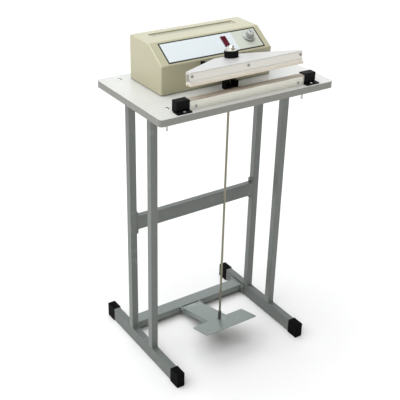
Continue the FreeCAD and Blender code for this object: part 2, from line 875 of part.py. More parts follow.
COVER_FRONT = "(jaw_place - bar_depth / 2 - cover_wall - cover_gap)"
lower_screws = [screw("bar_screw_" + side, (LOWER_SCREW_X % sign, JAW_FRONT, LOWER_SCREW_Z),
                      "+Y") for side, sign in SIDES.items()]
cover_screws = [bolt("cover_screw_" + side,
                     ("lower_jaw_shift + %s * cover_spacing / 2" % sign,
                      COVER_FRONT + " - cover_flange / 2",
                      "table_height + cover_flange_thickness"), "-Z",
                     "cover_flange_thickness", "screw_head_width", "screw_head_height",
                     "screw_size") for side, sign in SIDES.items()]
keep("lower_jaw_screws", group("lower_jaw_screws", lower_screws + cover_screws))


# Guide block: a moulded block on the table, slotted and notched for the rod
guide = box("guide_block", ("guide_width", "guide_depth", "guide_height"),
            ("-guide_width / 2", ROD_SWAY_MIDDLE + " - guide_depth / 2", "table_height"))
guide_slot = box("guide_slot", ("guide_slot_width", "guide_slot_length", "guide_height"),
                 ("-guide_slot_width / 2", ROD_SWAY_MIDDLE + " - guide_slot_length / 2",
                  "table_height"))
guide_notch = box("guide_notch", ("guide_notch_width", "guide_depth / 2", "guide_notch"),
                  ("-guide_notch_width / 2", ROD_SWAY_MIDDLE + " - guide_depth / 2",
                   "table_height + guide_height - guide_notch"))
guide_low = number("table_height + guide_rounding")
guide_body = eased("guide_block", guide, "guide_rounding",
                   lambda edge: edge.CenterOfMass.z > guide_low)
keep("rod_guide_block", cut("rod_guide_block", guide_body, guide_slot, guide_notch))


# Upper jaw: modelled shut, flat above the lower jaw, then lifted about its pivot
CLOSED_BASE = "(%s + cloth_thickness + jaw_clearance)" % CLOTH_TOP
HOLDER_BOTTOM = "(%s + silicone_stand)" % CLOSED_BASE
BAR_BOTTOM = "(%s + holder_height)" % HOLDER_BOTTOM
PLATE_BOTTOM = "(%s + upper_bar_height)" % BAR_BOTTOM
JAW_PIVOT_Z = "(table_height + jaw_pivot_height)"
HOLDER_LENGTH = "(cover_spacing - cover_length - 2 * (lower_jaw_shift + jaw_side_gap))"
UPPER_BAR_LENGTH = "(%s - 2 * holder_overhang)" % HOLDER_LENGTH


def lifted(node, piece):
    swing(piece, "-jaw_lift", "jaw_pivot_place", JAW_PIVOT_Z)
    return keep(node, piece)


upper_bar = long_bar(
    "upper_bar", UPPER_BAR_LENGTH,
    ((JAW_FRONT, BAR_BOTTOM), (JAW_REAR, BAR_BOTTOM), (JAW_REAR, PLATE_BOTTOM),
     (JAW_FRONT, PLATE_BOTTOM), (JAW_FRONT, BAR_BOTTOM + " + 0.24 * upper_bar_height"),
     (JAW_FRONT + " + 0.4 * bar_wall", BAR_BOTTOM + " + 0.21 * upper_bar_height"),
     (JAW_FRONT + " + 0.4 * bar_wall", BAR_BOTTOM + " + 0.17 * upper_bar_height"),
     (JAW_FRONT, BAR_BOTTOM + " + 0.14 * upper_bar_height")),
    ((JAW_FRONT + " + bar_wall", BAR_BOTTOM + " + bar_wall"),
     (JAW_REAR + " - bar_wall", BAR_BOTTOM + " + bar_wall"),
     (JAW_REAR + " - bar_wall", PLATE_BOTTOM + " - bar_wall"),
     (JAW_FRONT + " + bar_wall", PLATE_BOTTOM + " - bar_wall")))
JAW_SCREW_X = "%%s * (%s / 2 - jaw_screw_inset)" % UPPER_BAR_LENGTH
UPPER_SCREWS = {"left": "-1", "middle": "0", "right": "1"}
upper_screw_holes = [rod("upper_screw_hole_" + tag, "screw_size", "bar_wall",
                         (JAW_SCREW_X % sign, JAW_FRONT, BAR_BOTTOM + " + jaw_screw_height"),
                         "+Y") for tag, sign in UPPER_SCREWS.items()]
lifted("upper_bar", cut("upper_bar", upper_bar, *upper_screw_holes))
lifted("jaw_screws", group("jaw_screws", [
    screw("jaw_screw_" + tag, (JAW_SCREW_X % sign, JAW_FRONT,
                               BAR_BOTTOM + " + jaw_screw_height"), "+Y")
    for tag, sign in UPPER_SCREWS.items()]))

SILICONE_TOP = "(%s + silicone_height)" % CLOSED_BASE
lifted("strip_holder", long_bar(
    "strip_holder", HOLDER_LENGTH,
    ((JAW_FRONT + " - holder_lip", HOLDER_BOTTOM),
     ("jaw_place - backing_width / 2", HOLDER_BOTTOM),
     ("jaw_place - backing_width / 2", SILICONE_TOP),
     ("jaw_place + backing_width / 2", SILICONE_TOP),
     ("jaw_place + backing_width / 2", HOLDER_BOTTOM), (JAW_REAR, HOLDER_BOTTOM),
     (JAW_REAR, BAR_BOTTOM), (JAW_FRONT, BAR_BOTTOM),
     (JAW_FRONT + " - holder_lip", BAR_BOTTOM + " - 0.4 * holder_height")), None))
lifted("silicone_strip", long_bar(
    "silicone_strip", HOLDER_LENGTH,
    (("jaw_place - backing_width / 2 + 1", CLOSED_BASE),
     ("jaw_place + backing_width / 2 - 1", CLOSED_BASE),
     ("jaw_place + backing_width / 2", CLOSED_BASE + " + 1"),
     ("jaw_place + backing_width / 2", SILICONE_TOP),
     ("jaw_place - backing_width / 2", SILICONE_TOP),
     ("jaw_place - backing_width / 2", CLOSED_BASE + " + 1")), None))


def jaw_top_plate():
    """A plate over the bar that narrows towards the rear, bored for the rod."""
    owner = body("jaw_top_plate")
    drawing = sketch(owner, "jaw_top_plate_outline", "XY_Plane")
    half = UPPER_BAR_LENGTH + " / 2"
    rear = "%s + plate_depth" % JAW_FRONT
    draw_outline(drawing, (
        ("-" + half, JAW_FRONT), (half, JAW_FRONT), (half, JAW_REAR),
        ("plate_rear_width / 2", rear), ("-plate_rear_width / 2", rear),
        ("-" + half, JAW_REAR)))
    draw_circle(drawing, "0", "knob_place", "knob_bore")
    pad(owner, drawing, "plate_thickness")
    place(owner, z=PLATE_BOTTOM)
    return owner


lifted("jaw_top_plate", jaw_top_plate())


# Arms: flat bars from under the top plate, through the housing's slots, to the pivot
def arm(side):
    """An arm's side view, with a round eye at the pivot and a tail behind it."""
    name = side + "_arm"
    owner = body(name)
    drawing = sketch(owner, name + "_side", "YZ_Plane")
    top = PLATE_BOTTOM
    front = JAW_REAR
    dip = "jaw_pivot_place - 0.88 * (jaw_pivot_place - housing_front)"
    tail = "jaw_pivot_place + arm_tail + spring_hole"
    draw_outline(drawing, (
        (front, top), ("knob_place + knob_bore", top), ("housing_front + 4", top + " - arm_drop"),
        (tail, JAW_PIVOT_Z + " + arm_height / 2"), (tail, JAW_PIVOT_Z + " - 0.7 * arm_height"),
        (dip, JAW_PIVOT_Z + " - arm_height / 2"), (front, top + " - 0.8 * arm_height")))
    pad(owner, drawing, "arm_thickness", midplane=True)
    round_edges(owner, "0.3 * arm_height", lambda edge: along(edge, X_AXIS)
                and edge.CenterOfMass.y > number("jaw_pivot_place"))
    place(owner, x="%s * arm_spacing / 2" % SIDES[side])
    low_x = "%s * arm_spacing / 2 - arm_thickness / 2" % SIDES[side]
    eye = rod(name + "_eye", "2 * arm_eye_radius", "arm_thickness",
              (low_x, "jaw_pivot_place", JAW_PIVOT_Z), "+X")
    bore = rod(name + "_bore", "pivot_diameter + 2 * running_clearance", "arm_thickness",
               (low_x, "jaw_pivot_place", JAW_PIVOT_Z), "+X")
    hook = rod(name + "_hook_hole", "spring_hole", "arm_thickness",
               (low_x, "jaw_pivot_place + arm_tail", JAW_PIVOT_Z + " - spring_hole / 2"), "+X")
    return cut(name, fuse(name, owner, eye), bore, hook)


for side in SIDES:
    lifted(side + "_arm", arm(side))


# Pressure knob and its seat: on the jaw's top plate, with the rod's nut bearing on top
def pressure_knob():
    """A knurled knob, bored wide so that the rod can lean in it."""
    blank = turned("pressure_knob", (
        ("knob_bore / 2", "0"), ("knob_diameter / 2 - 1", "0"), ("knob_diameter / 2", "1"),
        ("knob_diameter / 2", "knob_height - 1.5"), ("knob_diameter / 2 - 1.5", "knob_height"),
        ("knob_bore / 2", "knob_height")))
    drawing = sketch(blank, "knurl_section", "XY_Plane")
    draw_circle(drawing, "knob_diameter / 2 + 0.4", "0", "2")
    groove = blank.newObject("PartDesign::Pocket", "knurl_groove")
    groove.Profile = drawing
    groove.Type = "ThroughAll"
    groove.Midplane = True
    doc.recompute()
    knurl = blank.newObject("PartDesign::PolarPattern", "knurl")
    knurl.Originals = [groove]
    knurl.Axis = (drawing, ["N_Axis"])
    knurl.Angle = 360
    knurl.Occurrences = 24
    blank.Tip = knurl
    doc.recompute()
    return blank


def on_plate(node, piece, height):
    """Set a turned piece on the jaw's plate, in the lifted pose."""
    place(piece, "0", "knob_place", "table_height + " + height)
    return lifted(node, piece)


on_plate("pressure_knob", pressure_knob(), PLATE_TOP + " + seat_gap")
on_plate("knob_washer", turned("knob_washer", (
    ("seat_bore / 2", "seat_thickness"), ("seat_bore / 2 - 0.6", "0"),
    ("seat_width / 2", "0"), ("seat_width / 2", "seat_thickness"))),
    PLATE_TOP + " + 2 * seat_gap + knob_height")

# Rod: hangs plumb from a round-bottomed nut in the seat, down to the pedal
ROD_TOP = ("(table_height + jaw_pivot_height + (%s - jaw_pivot_height) * cos(jaw_lift)"
           " - (knob_place - jaw_pivot_place) * sin(jaw_lift))" % ROD_JOINT)
END_DEPTH = "sqrt(end_nut_radius ^ 2 - (pedal_hole / 2) ^ 2)"
ROD_FOOT_RISE = "(pedal_rise - %s - seat_gap)" % END_DEPTH
PEDAL_HOLE_REACH = ("((%s - pedal_pivot_place - %s * sin(pedal_tilt)) / cos(pedal_tilt))"
                    % (ROD_PLACE, ROD_FOOT_RISE))
ROD_FOOT = ("(pedal_pivot_height - %s * sin(pedal_tilt) + %s * cos(pedal_tilt))"
            % (PEDAL_HOLE_REACH, ROD_FOOT_RISE))


def ball(name, radius, y, z):
    piece = doc.addObject("Part::Sphere", name)
    bind(piece, Radius=radius)
    place(piece, "0", y, z)
    return piece


def dome_nut():
    """A domed hexagon above the rod's joint, and a round underside in the seat."""
    hexagon = prism("dome_hexagon", "2 * dome_radius", "dome_height / 2",
                    ("0", ROD_PLACE, ROD_TOP))
    sphere = ball("dome_sphere", "dome_radius", ROD_PLACE, ROD_TOP)
    crown = ball("dome_crown_ball", "dome_crown", ROD_PLACE, ROD_TOP)
    capped = common("dome_capped", hexagon, crown)
    tip = ball("dome_tip", "0.8 * dome_radius", ROD_PLACE,
               ROD_TOP + " + dome_height - 0.8 * dome_radius")
    bore = rod("dome_bore", "rod_diameter", "dome_radius + dome_height / 2",
               ("0", ROD_PLACE, ROD_TOP + " - dome_radius"))
    return cut("dome_nut", fuse("dome_nut", sphere, capped, tip), bore)


keep("dome_nut", dome_nut())
COUPLING_BOTTOM = ("(%s + (%s + 2 * seat_gap + pedal_thickness) / cos(pedal_tilt)"
                   " + coupling_width / 2 * tan(pedal_tilt))" % (ROD_FOOT, END_DEPTH))
COUPLING_TOP = "(%s + coupling_length)" % COUPLING_BOTTOM
ROD_SPLIT = "(%s - coupling_overlap)" % COUPLING_TOP
keep("pull_rod", rod("pull_rod", "rod_diameter",
                     "%s + dome_height / 2 - %s" % (ROD_TOP, ROD_SPLIT),
                     ("0", ROD_PLACE, ROD_SPLIT)))
STUD_BOTTOM = "(%s - end_nut_height - 3)" % ROD_FOOT
keep("rod_stud", rod("rod_stud", "rod_diameter", "%s - %s" % (ROD_SPLIT, STUD_BOTTOM),
                     ("0", ROD_PLACE, STUD_BOTTOM)))
coupling = turned("rod_coupling", (
    ("rod_diameter / 2", "0"), ("coupling_width / 2 - 0.8", "0"), ("coupling_width / 2", "2"),
    ("coupling_width / 2", "coupling_length - 1"),
    ("coupling_width / 2 - 0.8", "coupling_length"), ("rod_diameter / 2", "coupling_length")))
place(coupling, "0", ROD_PLACE, COUPLING_BOTTOM)
keep("rod_coupling", coupling)


def rod_end_nut():
    """A nut under the pedal whose round top seats in the pedal's slot."""
    top = ball("end_nut_ball", "end_nut_radius", ROD_PLACE, ROD_FOOT)
    keeper = box("end_nut_slice", ("4 * end_nut_radius", "4 * end_nut_radius",
                                   "end_nut_radius"),
                 ("-2 * end_nut_radius", ROD_PLACE + " - 2 * end_nut_radius", ROD_FOOT))
    cap = common("end_nut_cap", top, keeper)
    base = ROD_FOOT + " - end_nut_height"
    skirt = prism("end_nut_skirt", "2 * end_nut_radius", "end_nut_height",
                  ("0", ROD_PLACE, base))
    bore = rod("end_nut_bore", "rod_diameter", "end_nut_height + end_nut_radius",
               ("0", ROD_PLACE, base))
    return cut("rod_end_nut", fuse("rod_end_nut", cap, skirt), bore)


keep("rod_end_nut", rod_end_nut())


# Pedal: one T-shaped sheet with turned-down sides, hinged on two lugs
def pedal_plate():
    """Flat tread and neck, with a flange down each side of the neck."""
    owner = body("pedal_plate")
    drawing = sketch(owner, "pedal_outline", "XY_Plane")
    neck = "pedal_neck_width / 2"
    tread = "pedal_tread_width / 2"
    front = "-pedal_reach"
    back = "pedal_tread_depth - pedal_reach"
    heel = "pedal_pin_diameter / 2"
    draw_outline(drawing, (
        ("-" + tread, front), (tread, front), (tread, back), (neck, back), (neck, heel),
        ("-" + neck, heel), ("-" + neck, back), ("-" + tread, back)))
    middle = PEDAL_HOLE_REACH + " - pedal_slot_offset"
    draw_outline(drawing, (
        ("-pedal_hole / 2", middle + " - pedal_slot_length / 2"),
        ("pedal_hole / 2", middle + " - pedal_slot_length / 2"),
        ("pedal_hole / 2", middle + " + pedal_slot_length / 2"),
        ("-pedal_hole / 2", middle + " + pedal_slot_length / 2")))
    pad(owner, drawing, "pedal_thickness")
    half = number(tread)
    round_edges(owner, "pedal_corner", lambda edge: along(edge, Z_AXIS)
                and abs(abs(edge.CenterOfMass.x) - half) < 0.01)
    place(owner, "0", "0", "pedal_rise")
    flanges = []
    for side, sign in SIDES.items():
        edge = body("pedal_flange_" + side)
        outline = sketch(edge, "pedal_flange_side_" + side, "YZ_Plane")
        low = "pedal_rise - pedal_flange"
        draw_outline(outline, (
            ("pedal_tread_depth - pedal_reach", "pedal_rise"),
            ("pedal_pin_diameter / 2", "pedal_rise"),
            ("pedal_pin_diameter", "pedal_pin_diameter / 2"),
            ("pedal_pin_diameter", "-pedal_pin_diameter / 2"),
            ("pedal_pin_diameter / 2", low),
            ("pedal_tread_depth - pedal_reach + pedal_flange", low)))
        draw_circle(outline, "0", "0", "pedal_pin_diameter + 2 * running_clearance")
        pad(edge, outline, "pedal_thickness", midplane=True)
        place(edge, "%s * (pedal_neck_width - pedal_thickness) / 2" % sign)
        flanges.append(edge)
    return fuse("pedal_plate", owner, *flanges)


pedal = pedal_plate()
pedal_turn = FreeCAD.Rotation(X_AXIS, number("-pedal_tilt"))
pedal.Placement = FreeCAD.Placement(
    FreeCAD.Vector(0, number("pedal_pivot_place"), number("pedal_pivot_height")), pedal_turn)
keep("pedal_plate", pedal)

LUG_X = "(pedal_neck_width / 2 + side_clearance)"


def hinge_lug(side):
    """A plate with a round nose, welded to the lower crossbar's front face."""
    name = "hinge_lug_" + side
    root = "(lower_crossbar_place - crossbar_height / 2)"
    low_x = LUG_X if side == "right" else "-%s - lug_thickness" % LUG_X
    plate = box(name + "_plate",
                ("lug_thickness", "%s - pedal_pivot_place" % root, "lug_height"),
                (low_x, "pedal_pivot_place", "pedal_pivot_height - lug_height / 2"))
    nose = rod(name + "_nose", "lug_height", "lug_thickness",
               (low_x, "pedal_pivot_place", "pedal_pivot_height"), "+X")
    bore = rod(name + "_bore", "pedal_pin_diameter", "lug_thickness",
               (low_x, "pedal_pivot_place", "pedal_pivot_height"), "+X")
    return cut(name, fuse(name, plate, nose), bore)


keep("pedal_hinge_lugs", group("pedal_hinge_lugs", [hinge_lug(side) for side in SIDES]))
PIN_END = "(%s + lug_thickness)" % LUG_X
pin_bar = rod("pedal_pin_bar", "pedal_pin_diameter", "2 * %s" % PIN_END,
              ("-" + PIN_END, "pedal_pivot_place", "pedal_pivot_height"), "+X")
pin_heads = [rod("pedal_pin_head_" + side, "pedal_pin_head", "pedal_pin_head_length",
                 (PIN_END if side == "right" else "-%s - pedal_pin_head_length" % PIN_END,
                  "pedal_pivot_place", "pedal_pivot_height"), "+X") for side in SIDES]
keep("pedal_hinge_pin", fuse("pedal_hinge_pin", pin_bar, *pin_heads))


# Housing: a folded sheet cover over a flanged base, on four feet
HOUSING_TOP = "(table_height + housing_height)"
SLOPE_BOTTOM = "(table_height + housing_front_height)"
SLOPE_ANGLE = ("atan((housing_height - housing_front_height)"
               " / (housing_slope_start - housing_front))")


def housing_block(name, inset, drop):
    """The housing's side view, inset by a wall, drawn out along X with round bends."""
    owner = body(name)
    drawing = sketch(owner, name + "_side", "YZ_Plane")
    bottom = "(table_height + housing_gap - %s)" % drop
    slope = "(%s)" % SLOPE_ANGLE
    draw_outline(drawing, (
        ("housing_front + " + inset, bottom), ("housing_rear - " + inset, bottom),
        ("housing_rear - " + inset, HOUSING_TOP + " - " + inset),
        ("housing_slope_start + %s * (1 / cos(%s) - 1) / tan(%s)" % (inset, slope, slope),
         HOUSING_TOP + " - " + inset),
        ("housing_front + " + inset,
         SLOPE_BOTTOM + " + %s * (tan(%s) - 1 / cos(%s))" % (inset, slope, slope))))
    pad(owner, drawing, "housing_width - 2 * " + inset, midplane=True)
    base_z = number(bottom)
    round_edges(owner, "housing_bend - " + inset,
                lambda edge: edge.CenterOfMass.z > base_z + 1)
    place(owner, x="housing_place")
    return owner


def tray(name, margin):
    """The block of a long tray that is pressed into the housing's top."""
    length = "(groove_length + 2 * %s)" % margin
    width = "(groove_width + 2 * %s)" % margin
    depth = "(groove_depth + %s)" % margin
    return box(name, (length, width, depth + " + housing_wall"),
               ("housing_place - %s / 2" % length, "groove_place - %s / 2" % width,
                "%s - %s" % (HOUSING_TOP, depth)))


def housing_shell():
    """A folded cover of even wall, open at the bottom, with a tray pressed into its top."""
    hollow = cut("housing_hollow", housing_block("housing_inside", "housing_wall", "1"),
                 tray("tray_outside", "housing_wall"))
    return cut("housing_shell", housing_block("housing_outside", "0", "0"), hollow,
               tray("tray_inside", "0"))


def on_slope(piece, x, offset, height):
    """Stand a piece on the slope: along it, and out from it by a height."""
    angle = number(SLOPE_ANGLE)
    frame = FreeCAD.Placement(
        FreeCAD.Vector(0, number("housing_front"), number(SLOPE_BOTTOM)),
        FreeCAD.Rotation(X_AXIS, angle))
    spot = FreeCAD.Placement(FreeCAD.Vector(number(x), number(offset), number(height)),
                             piece.Placement.Rotation)
    piece.Placement = frame.multiply(spot)
    return piece


def slope_box(name, size, x, offset, height):
    """A block centred over a point of the slope, from a height upwards."""
    piece = doc.addObject("Part::Box", name)
    bind(piece, Length=size[0], Width=size[1], Height=size[2])
    return on_slope(piece, "%s - (%s) / 2" % (x, size[0]), "%s - (%s) / 2" % (offset, size[1]),
                    height)


def slope_rod(name, diameter, length, x, offset, height):
    piece = doc.addObject("Part::Cylinder", name)
    bind(piece, Radius="(%s) / 2" % diameter, Height=length)
    return on_slope(piece, x, offset, height)


SWITCH_CORE = ("(switch_width - 2 * switch_rim)", "(switch_length - 2 * switch_rim)")
BUSH = "(dial_shaft + 2 * bush_wall)"


def panel_tools(name):
    """Cutters for the switch and for the timer's bush, through anything on the slope."""
    return [slope_box(name + "_switch", (*SWITCH_CORE, "panel_cut"),
                      "switch_place", "switch_offset", "-panel_cut / 2"),
            slope_rod(name + "_dial", BUSH, "panel_cut", "dial_place", "dial_offset",
                      "-panel_cut / 2")]


REAR_SCREWS = (-3, -1, 1, 3)
SCREW_Z = "(table_height + foot_height + base_thickness + base_flange / 2)"


def rear_screw_x(step):
    return "housing_place + %d * housing_width / 8" % step


def housing_cover():
    shell = housing_shell()
    slot = "arm_thickness + 2 * arm_slot_clearance"
    slots = [box("arm_slot_" + side, (slot, "4 * housing_bend",
                                      "arm_slot_top - arm_slot_bottom"),
                 ("%s * arm_spacing / 2 - (%s) / 2" % (sign, slot),
                  "housing_front - 2 * housing_bend", "table_height + arm_slot_bottom"))
             for side, sign in SIDES.items()]
    gland = rod("gland_hole", "gland_bore + 2 * gland_wall", "4 * housing_wall",
                ("gland_place", "housing_rear - 2 * housing_wall", "table_height + gland_height"),
                "+Y")
    screws = [rod("cover_rear_hole_%d" % step, "screw_size", "4 * housing_wall",
                  (rear_screw_x(step), "housing_rear - 3 * housing_wall", SCREW_Z), "+Y")
              for step in REAR_SCREWS]
    return cut("housing_cover", shell, *slots, gland, *screws, *panel_tools("cover"))


keep("housing_cover", housing_cover())

BASE_BOTTOM = "(table_height + foot_height)"
BASE_TOP = "(table_height + foot_height + base_thickness)"


def housing_base():
    """A tray with a turned-up flange at front and rear, inside the cover."""
    owner = body("housing_base")
    drawing = sketch(owner, "base_section", "YZ_Plane")
    front = "housing_front + housing_wall"
    rear = "housing_rear - housing_wall"
    flange = "%s + base_flange" % BASE_TOP
    draw_outline(drawing, (
        (front, BASE_BOTTOM), (rear, BASE_BOTTOM), (rear, flange),
        (rear + " - base_thickness", flange), (rear + " - base_thickness", BASE_TOP),
        (front + " + base_thickness", BASE_TOP), (front + " + base_thickness", flange),
        (front, flange)))
    pad(owner, drawing, "housing_width - 2 * housing_bend", midplane=True)
    place(owner, x="housing_place")
    screws = [rod("base_rear_hole_%d" % step, "screw_size", "4 * base_thickness",
                  (rear_screw_x(step), "housing_rear - housing_wall - 2 * base_thickness",
                   SCREW_Z), "+Y") for step in REAR_SCREWS]
    return cut("housing_base", owner, *screws)


keep("housing_base", housing_base())
keep("housing_feet", group("housing_feet", [
    rod("housing_foot_%s_%s" % (side, end), "foot_width", "foot_height",
        ("housing_place + %s * (housing_width / 2 - foot_inset)" % sign,
         "housing_front + foot_inset" if end == "front" else "housing_rear - foot_inset",
         "table_height")) for side, sign in SIDES.items() for end in ("front", "rear")]))
keep("housing_screws", group("housing_screws", [
    screw("rear_screw_%d" % step, (rear_screw_x(step), "housing_rear", SCREW_Z), "-Y")
    for step in REAR_SCREWS]))

# Panel: label plate, rocker switch and timer, all square to the slope
label = slope_box("label_blank", ("label_width", "label_height", "label_thickness"),
                  "label_place", "label_offset", "0")
keep("label_plate", cut("label_plate", label, *panel_tools("label")))


def switch_body():
    """A rim on the label and a case behind it, open at the front for the rocker."""
    rim = slope_box("switch_rim_block", ("switch_width", "switch_length", "switch_rim_height"),
                    "switch_place", "switch_offset", "label_thickness")
    case = slope_box("switch_case", (SWITCH_CORE[0], SWITCH_CORE[1],
                                     "switch_depth + label_thickness"),
                     "switch_place", "switch_offset", "-switch_depth")
    well = slope_box("switch_well", (SWITCH_CORE[0] + " - 2 * switch_wall",
                                     SWITCH_CORE[1] + " - 2 * switch_wall",
                                     "switch_cavity + label_thickness + 2 * switch_rim_height"),
                     "switch_place", "switch_offset", "-switch_cavity")
    return cut("switch_body", fuse("switch_body", rim, case), well)


keep("switch_body", switch_body())


def switch_rocker():
    """A rocker with a shallow V face, resting with one end down."""
    owner = body("switch_rocker")
    drawing = sketch(owner, "rocker_side", "YZ_Plane")
    half = "(%s / 2 - switch_wall - 2 * rocker_gap)" % SWITCH_CORE[1]
    draw_outline(drawing, (
        ("-" + half, "rocker_height"), ("0", "rocker_height - rocker_dip"),
        (half, "rocker_height"), (half + " - 2 * rocker_gap", "-rocker_side"),
        ("rocker_heel / 2", "-rocker_depth"), ("-rocker_heel / 2", "-rocker_depth"),
        ("2 * rocker_gap - " + half, "-rocker_side")))
    pad(owner, drawing, "%s - 2 * switch_wall - 2 * rocker_gap" % SWITCH_CORE[0],
        midplane=True)
    owner.Placement = FreeCAD.Placement(FreeCAD.Vector(),
                                        FreeCAD.Rotation(X_AXIS, number("rocker_angle")))
    return on_slope(owner, "switch_place", "switch_offset", "0")


keep("switch_rocker", switch_rocker())

knob = turned("timer_knob", (
    ("dial_shaft / 2", "0"), ("dial_skirt / 2", "0"), ("dial_skirt / 2", "dial_skirt_edge"),
    ("dial_grip / 2 + dial_skirt_edge", "0.25 * dial_height"),
    ("dial_grip / 2", "0.94 * dial_height"), ("0.45 * dial_grip", "dial_height"),
    ("0", "dial_height"), ("0", "dial_height - dial_crown"),
    ("dial_shaft / 2", "dial_height - dial_crown")))
DIAL_STAND = "(label_thickness + bush_stand + seat_gap)"
on_slope(knob, "dial_place", "dial_offset", DIAL_STAND)
keep("timer_knob", knob)
keep("timer_shaft", slope_rod("timer_shaft", "dial_shaft",
                              "%s + dial_height - dial_crown + shaft_depth" % DIAL_STAND,
                              "dial_place", "dial_offset", "-shaft_depth"))


def timer_control():
    """The timer's control: a can behind the wall and a nutted bush through it."""
    can = slope_rod("control_can", "control_width", "control_depth",
                    "dial_place", "dial_offset", "-housing_wall - control_depth")
    bush = slope_rod("control_bush", BUSH, "housing_wall + label_thickness + bush_stand",
                     "dial_place", "dial_offset", "-housing_wall")
    nut = doc.addObject("Part::Prism", "control_nut")
    nut.Polygon = 6
    bind(nut, Circumradius="control_nut_width / 2 / cos(30)", Height="control_nut_height")
    on_slope(nut, "dial_place", "dial_offset", "label_thickness")
    bore = slope_rod("control_bore", "dial_shaft + 2 * running_clearance", "2 * panel_cut",
                     "dial_place", "dial_offset", "-shaft_depth - running_clearance")
    return cut("timer_control", fuse("timer_control", can, bush, nut), bore)


keep("timer_control", timer_control())


def timer_board():
    """The board on the back of the control, with its relay and capacitor."""
    back = "-housing_wall - control_depth"
    offset = "dial_offset + circuit_shift"
    circuit = slope_box("circuit", ("circuit_width", "circuit_height", "circuit_thickness"),
                        "dial_place", offset, back + " - circuit_thickness")
    relay = slope_box("relay", ("relay_width", "relay_depth", "relay_height"),
                      "dial_place + relay_place", offset,
                      back + " - circuit_thickness - relay_height")
    capacitor = slope_rod("capacitor", "capacitor_diameter", "capacitor_height",
                          "dial_place + capacitor_place", offset,
                          back + " - circuit_thickness - capacitor_height")
    return fuse("timer_board", circuit, relay, capacitor)


keep("timer_board", timer_board())


# Inner pieces of the housing
def transformer():
    """A laminated core with a window each side of its coil, standing on the base."""
    low_x = "transformer_place - transformer_width / 2"
    middle_y = "(housing_front + housing_rear) / 2"
    core = box("transformer_core", ("transformer_width", "transformer_depth",
                                    "transformer_height"),
               (low_x, middle_y + " - transformer_depth / 2", BASE_TOP))
    coil = box("transformer_coil", ("coil_width", "transformer_depth + 2 * coil_bulge",
                                    "transformer_height - 2 * core_yoke"),
               ("transformer_place - coil_width / 2",
                middle_y + " - transformer_depth / 2 - coil_bulge",
                BASE_TOP + " + core_yoke"))
    return fuse("transformer", core, coil)


keep("transformer", transformer())
BRACKET_INNER = "(arm_spacing / 2 + arm_thickness / 2 + side_clearance)"
ANCHOR_Z = "(%s + bracket_thickness + anchor_height)" % BASE_TOP
# Where the springs' upper loops sit with the jaw lifted
SPRING_Y = "(jaw_pivot_place + arm_tail * cos(jaw_lift) - spring_hole / 2 * sin(jaw_lift))"
SPRING_TOP = "(%s - arm_tail * sin(jaw_lift) - spring_hole / 2 * cos(jaw_lift))" % JAW_PIVOT_Z


def pivot_bracket(side):
    """An upright for the pivot, its foot on the base, and a hooked tab for the spring."""
    name = side + "_bracket"
    sign = SIDES[side]
    upright_x = BRACKET_INNER if side == "right" else "-%s - bracket_thickness" % BRACKET_INNER
    upright = box(name + "_upright",
                  ("bracket_thickness", "upright_depth",
                   "jaw_pivot_height + bracket_rise - foot_height - base_thickness"),
                  (upright_x, "jaw_pivot_place - bracket_depth / 2 + bracket_offset",
                   BASE_TOP))
    foot = box(name + "_foot",
               ("bracket_foot + bracket_inward", "bracket_depth", "bracket_thickness"),
               ("%s * (%s + (bracket_foot - bracket_inward) / 2)"
                " - (bracket_foot + bracket_inward) / 2" % (sign, BRACKET_INNER),
                "jaw_pivot_place - bracket_depth / 2 + bracket_offset", BASE_TOP))
    tab = box(name + "_tab", ("bracket_thickness", "tab_depth", "anchor_height + tab_margin"),
              ("%s * arm_spacing / 2 - bracket_thickness / 2" % sign,
               SPRING_Y + " - tab_depth / 2", BASE_TOP + " + bracket_thickness"))
    shaft_bore = rod(name + "_bore", "pivot_diameter", "bracket_thickness",
                     (upright_x, "jaw_pivot_place", JAW_PIVOT_Z), "+X")
    tab_bore = rod(name + "_tab_bore", "spring_hole", "bracket_thickness",
                   ("%s * arm_spacing / 2 - bracket_thickness / 2" % sign, SPRING_Y, ANCHOR_Z),
                   "+X")
    return cut(name, fuse(name, upright, foot, tab), shaft_bore, tab_bore)


keep("pivot_brackets", group("pivot_brackets", [pivot_bracket(side) for side in SIDES]))
SHAFT_HALF = "(%s + bracket_thickness + shaft_stand)" % BRACKET_INNER
keep("pivot_shaft", rod("pivot_shaft", "pivot_diameter", "2 * %s" % SHAFT_HALF,
                        ("-" + SHAFT_HALF, "jaw_pivot_place", JAW_PIVOT_Z), "+X"))


def return_spring(side):
    """A close-wound extension spring between two end loops."""
    x = "%s * arm_spacing / 2" % SIDES[side]
    name = side + "_spring"
    loops = []
    for end, z in (("low", ANCHOR_Z + " + spring_radius"), ("high", SPRING_TOP
                                                            + " - spring_radius")):
        loop = doc.addObject("Part::Torus", "%s_loop_%s" % (name, end))
        bind(loop, Radius1="spring_radius", Radius2="spring_wire / 2")
        place(loop, x, SPRING_Y, z, turn=FreeCAD.Rotation(X_AXIS, 90))
        loops.append(loop)
    start = ANCHOR_Z + " + 2 * spring_radius"
    length = "%s - %s - 4 * spring_radius" % (SPRING_TOP, ANCHOR_Z)
    coil = rod(name + "_coil", "2 * spring_radius + spring_wire", length,
               (x, SPRING_Y, start))
    bore = rod(name + "_coil_bore", "2 * spring_radius - spring_wire",
               length + " - 2 * spring_wire", (x, SPRING_Y, start + " + spring_wire"))
    return fuse(name, cut(name + "_tube", coil, bore), *loops)


keep("return_springs", group("return_springs", [return_spring(side) for side in SIDES]))

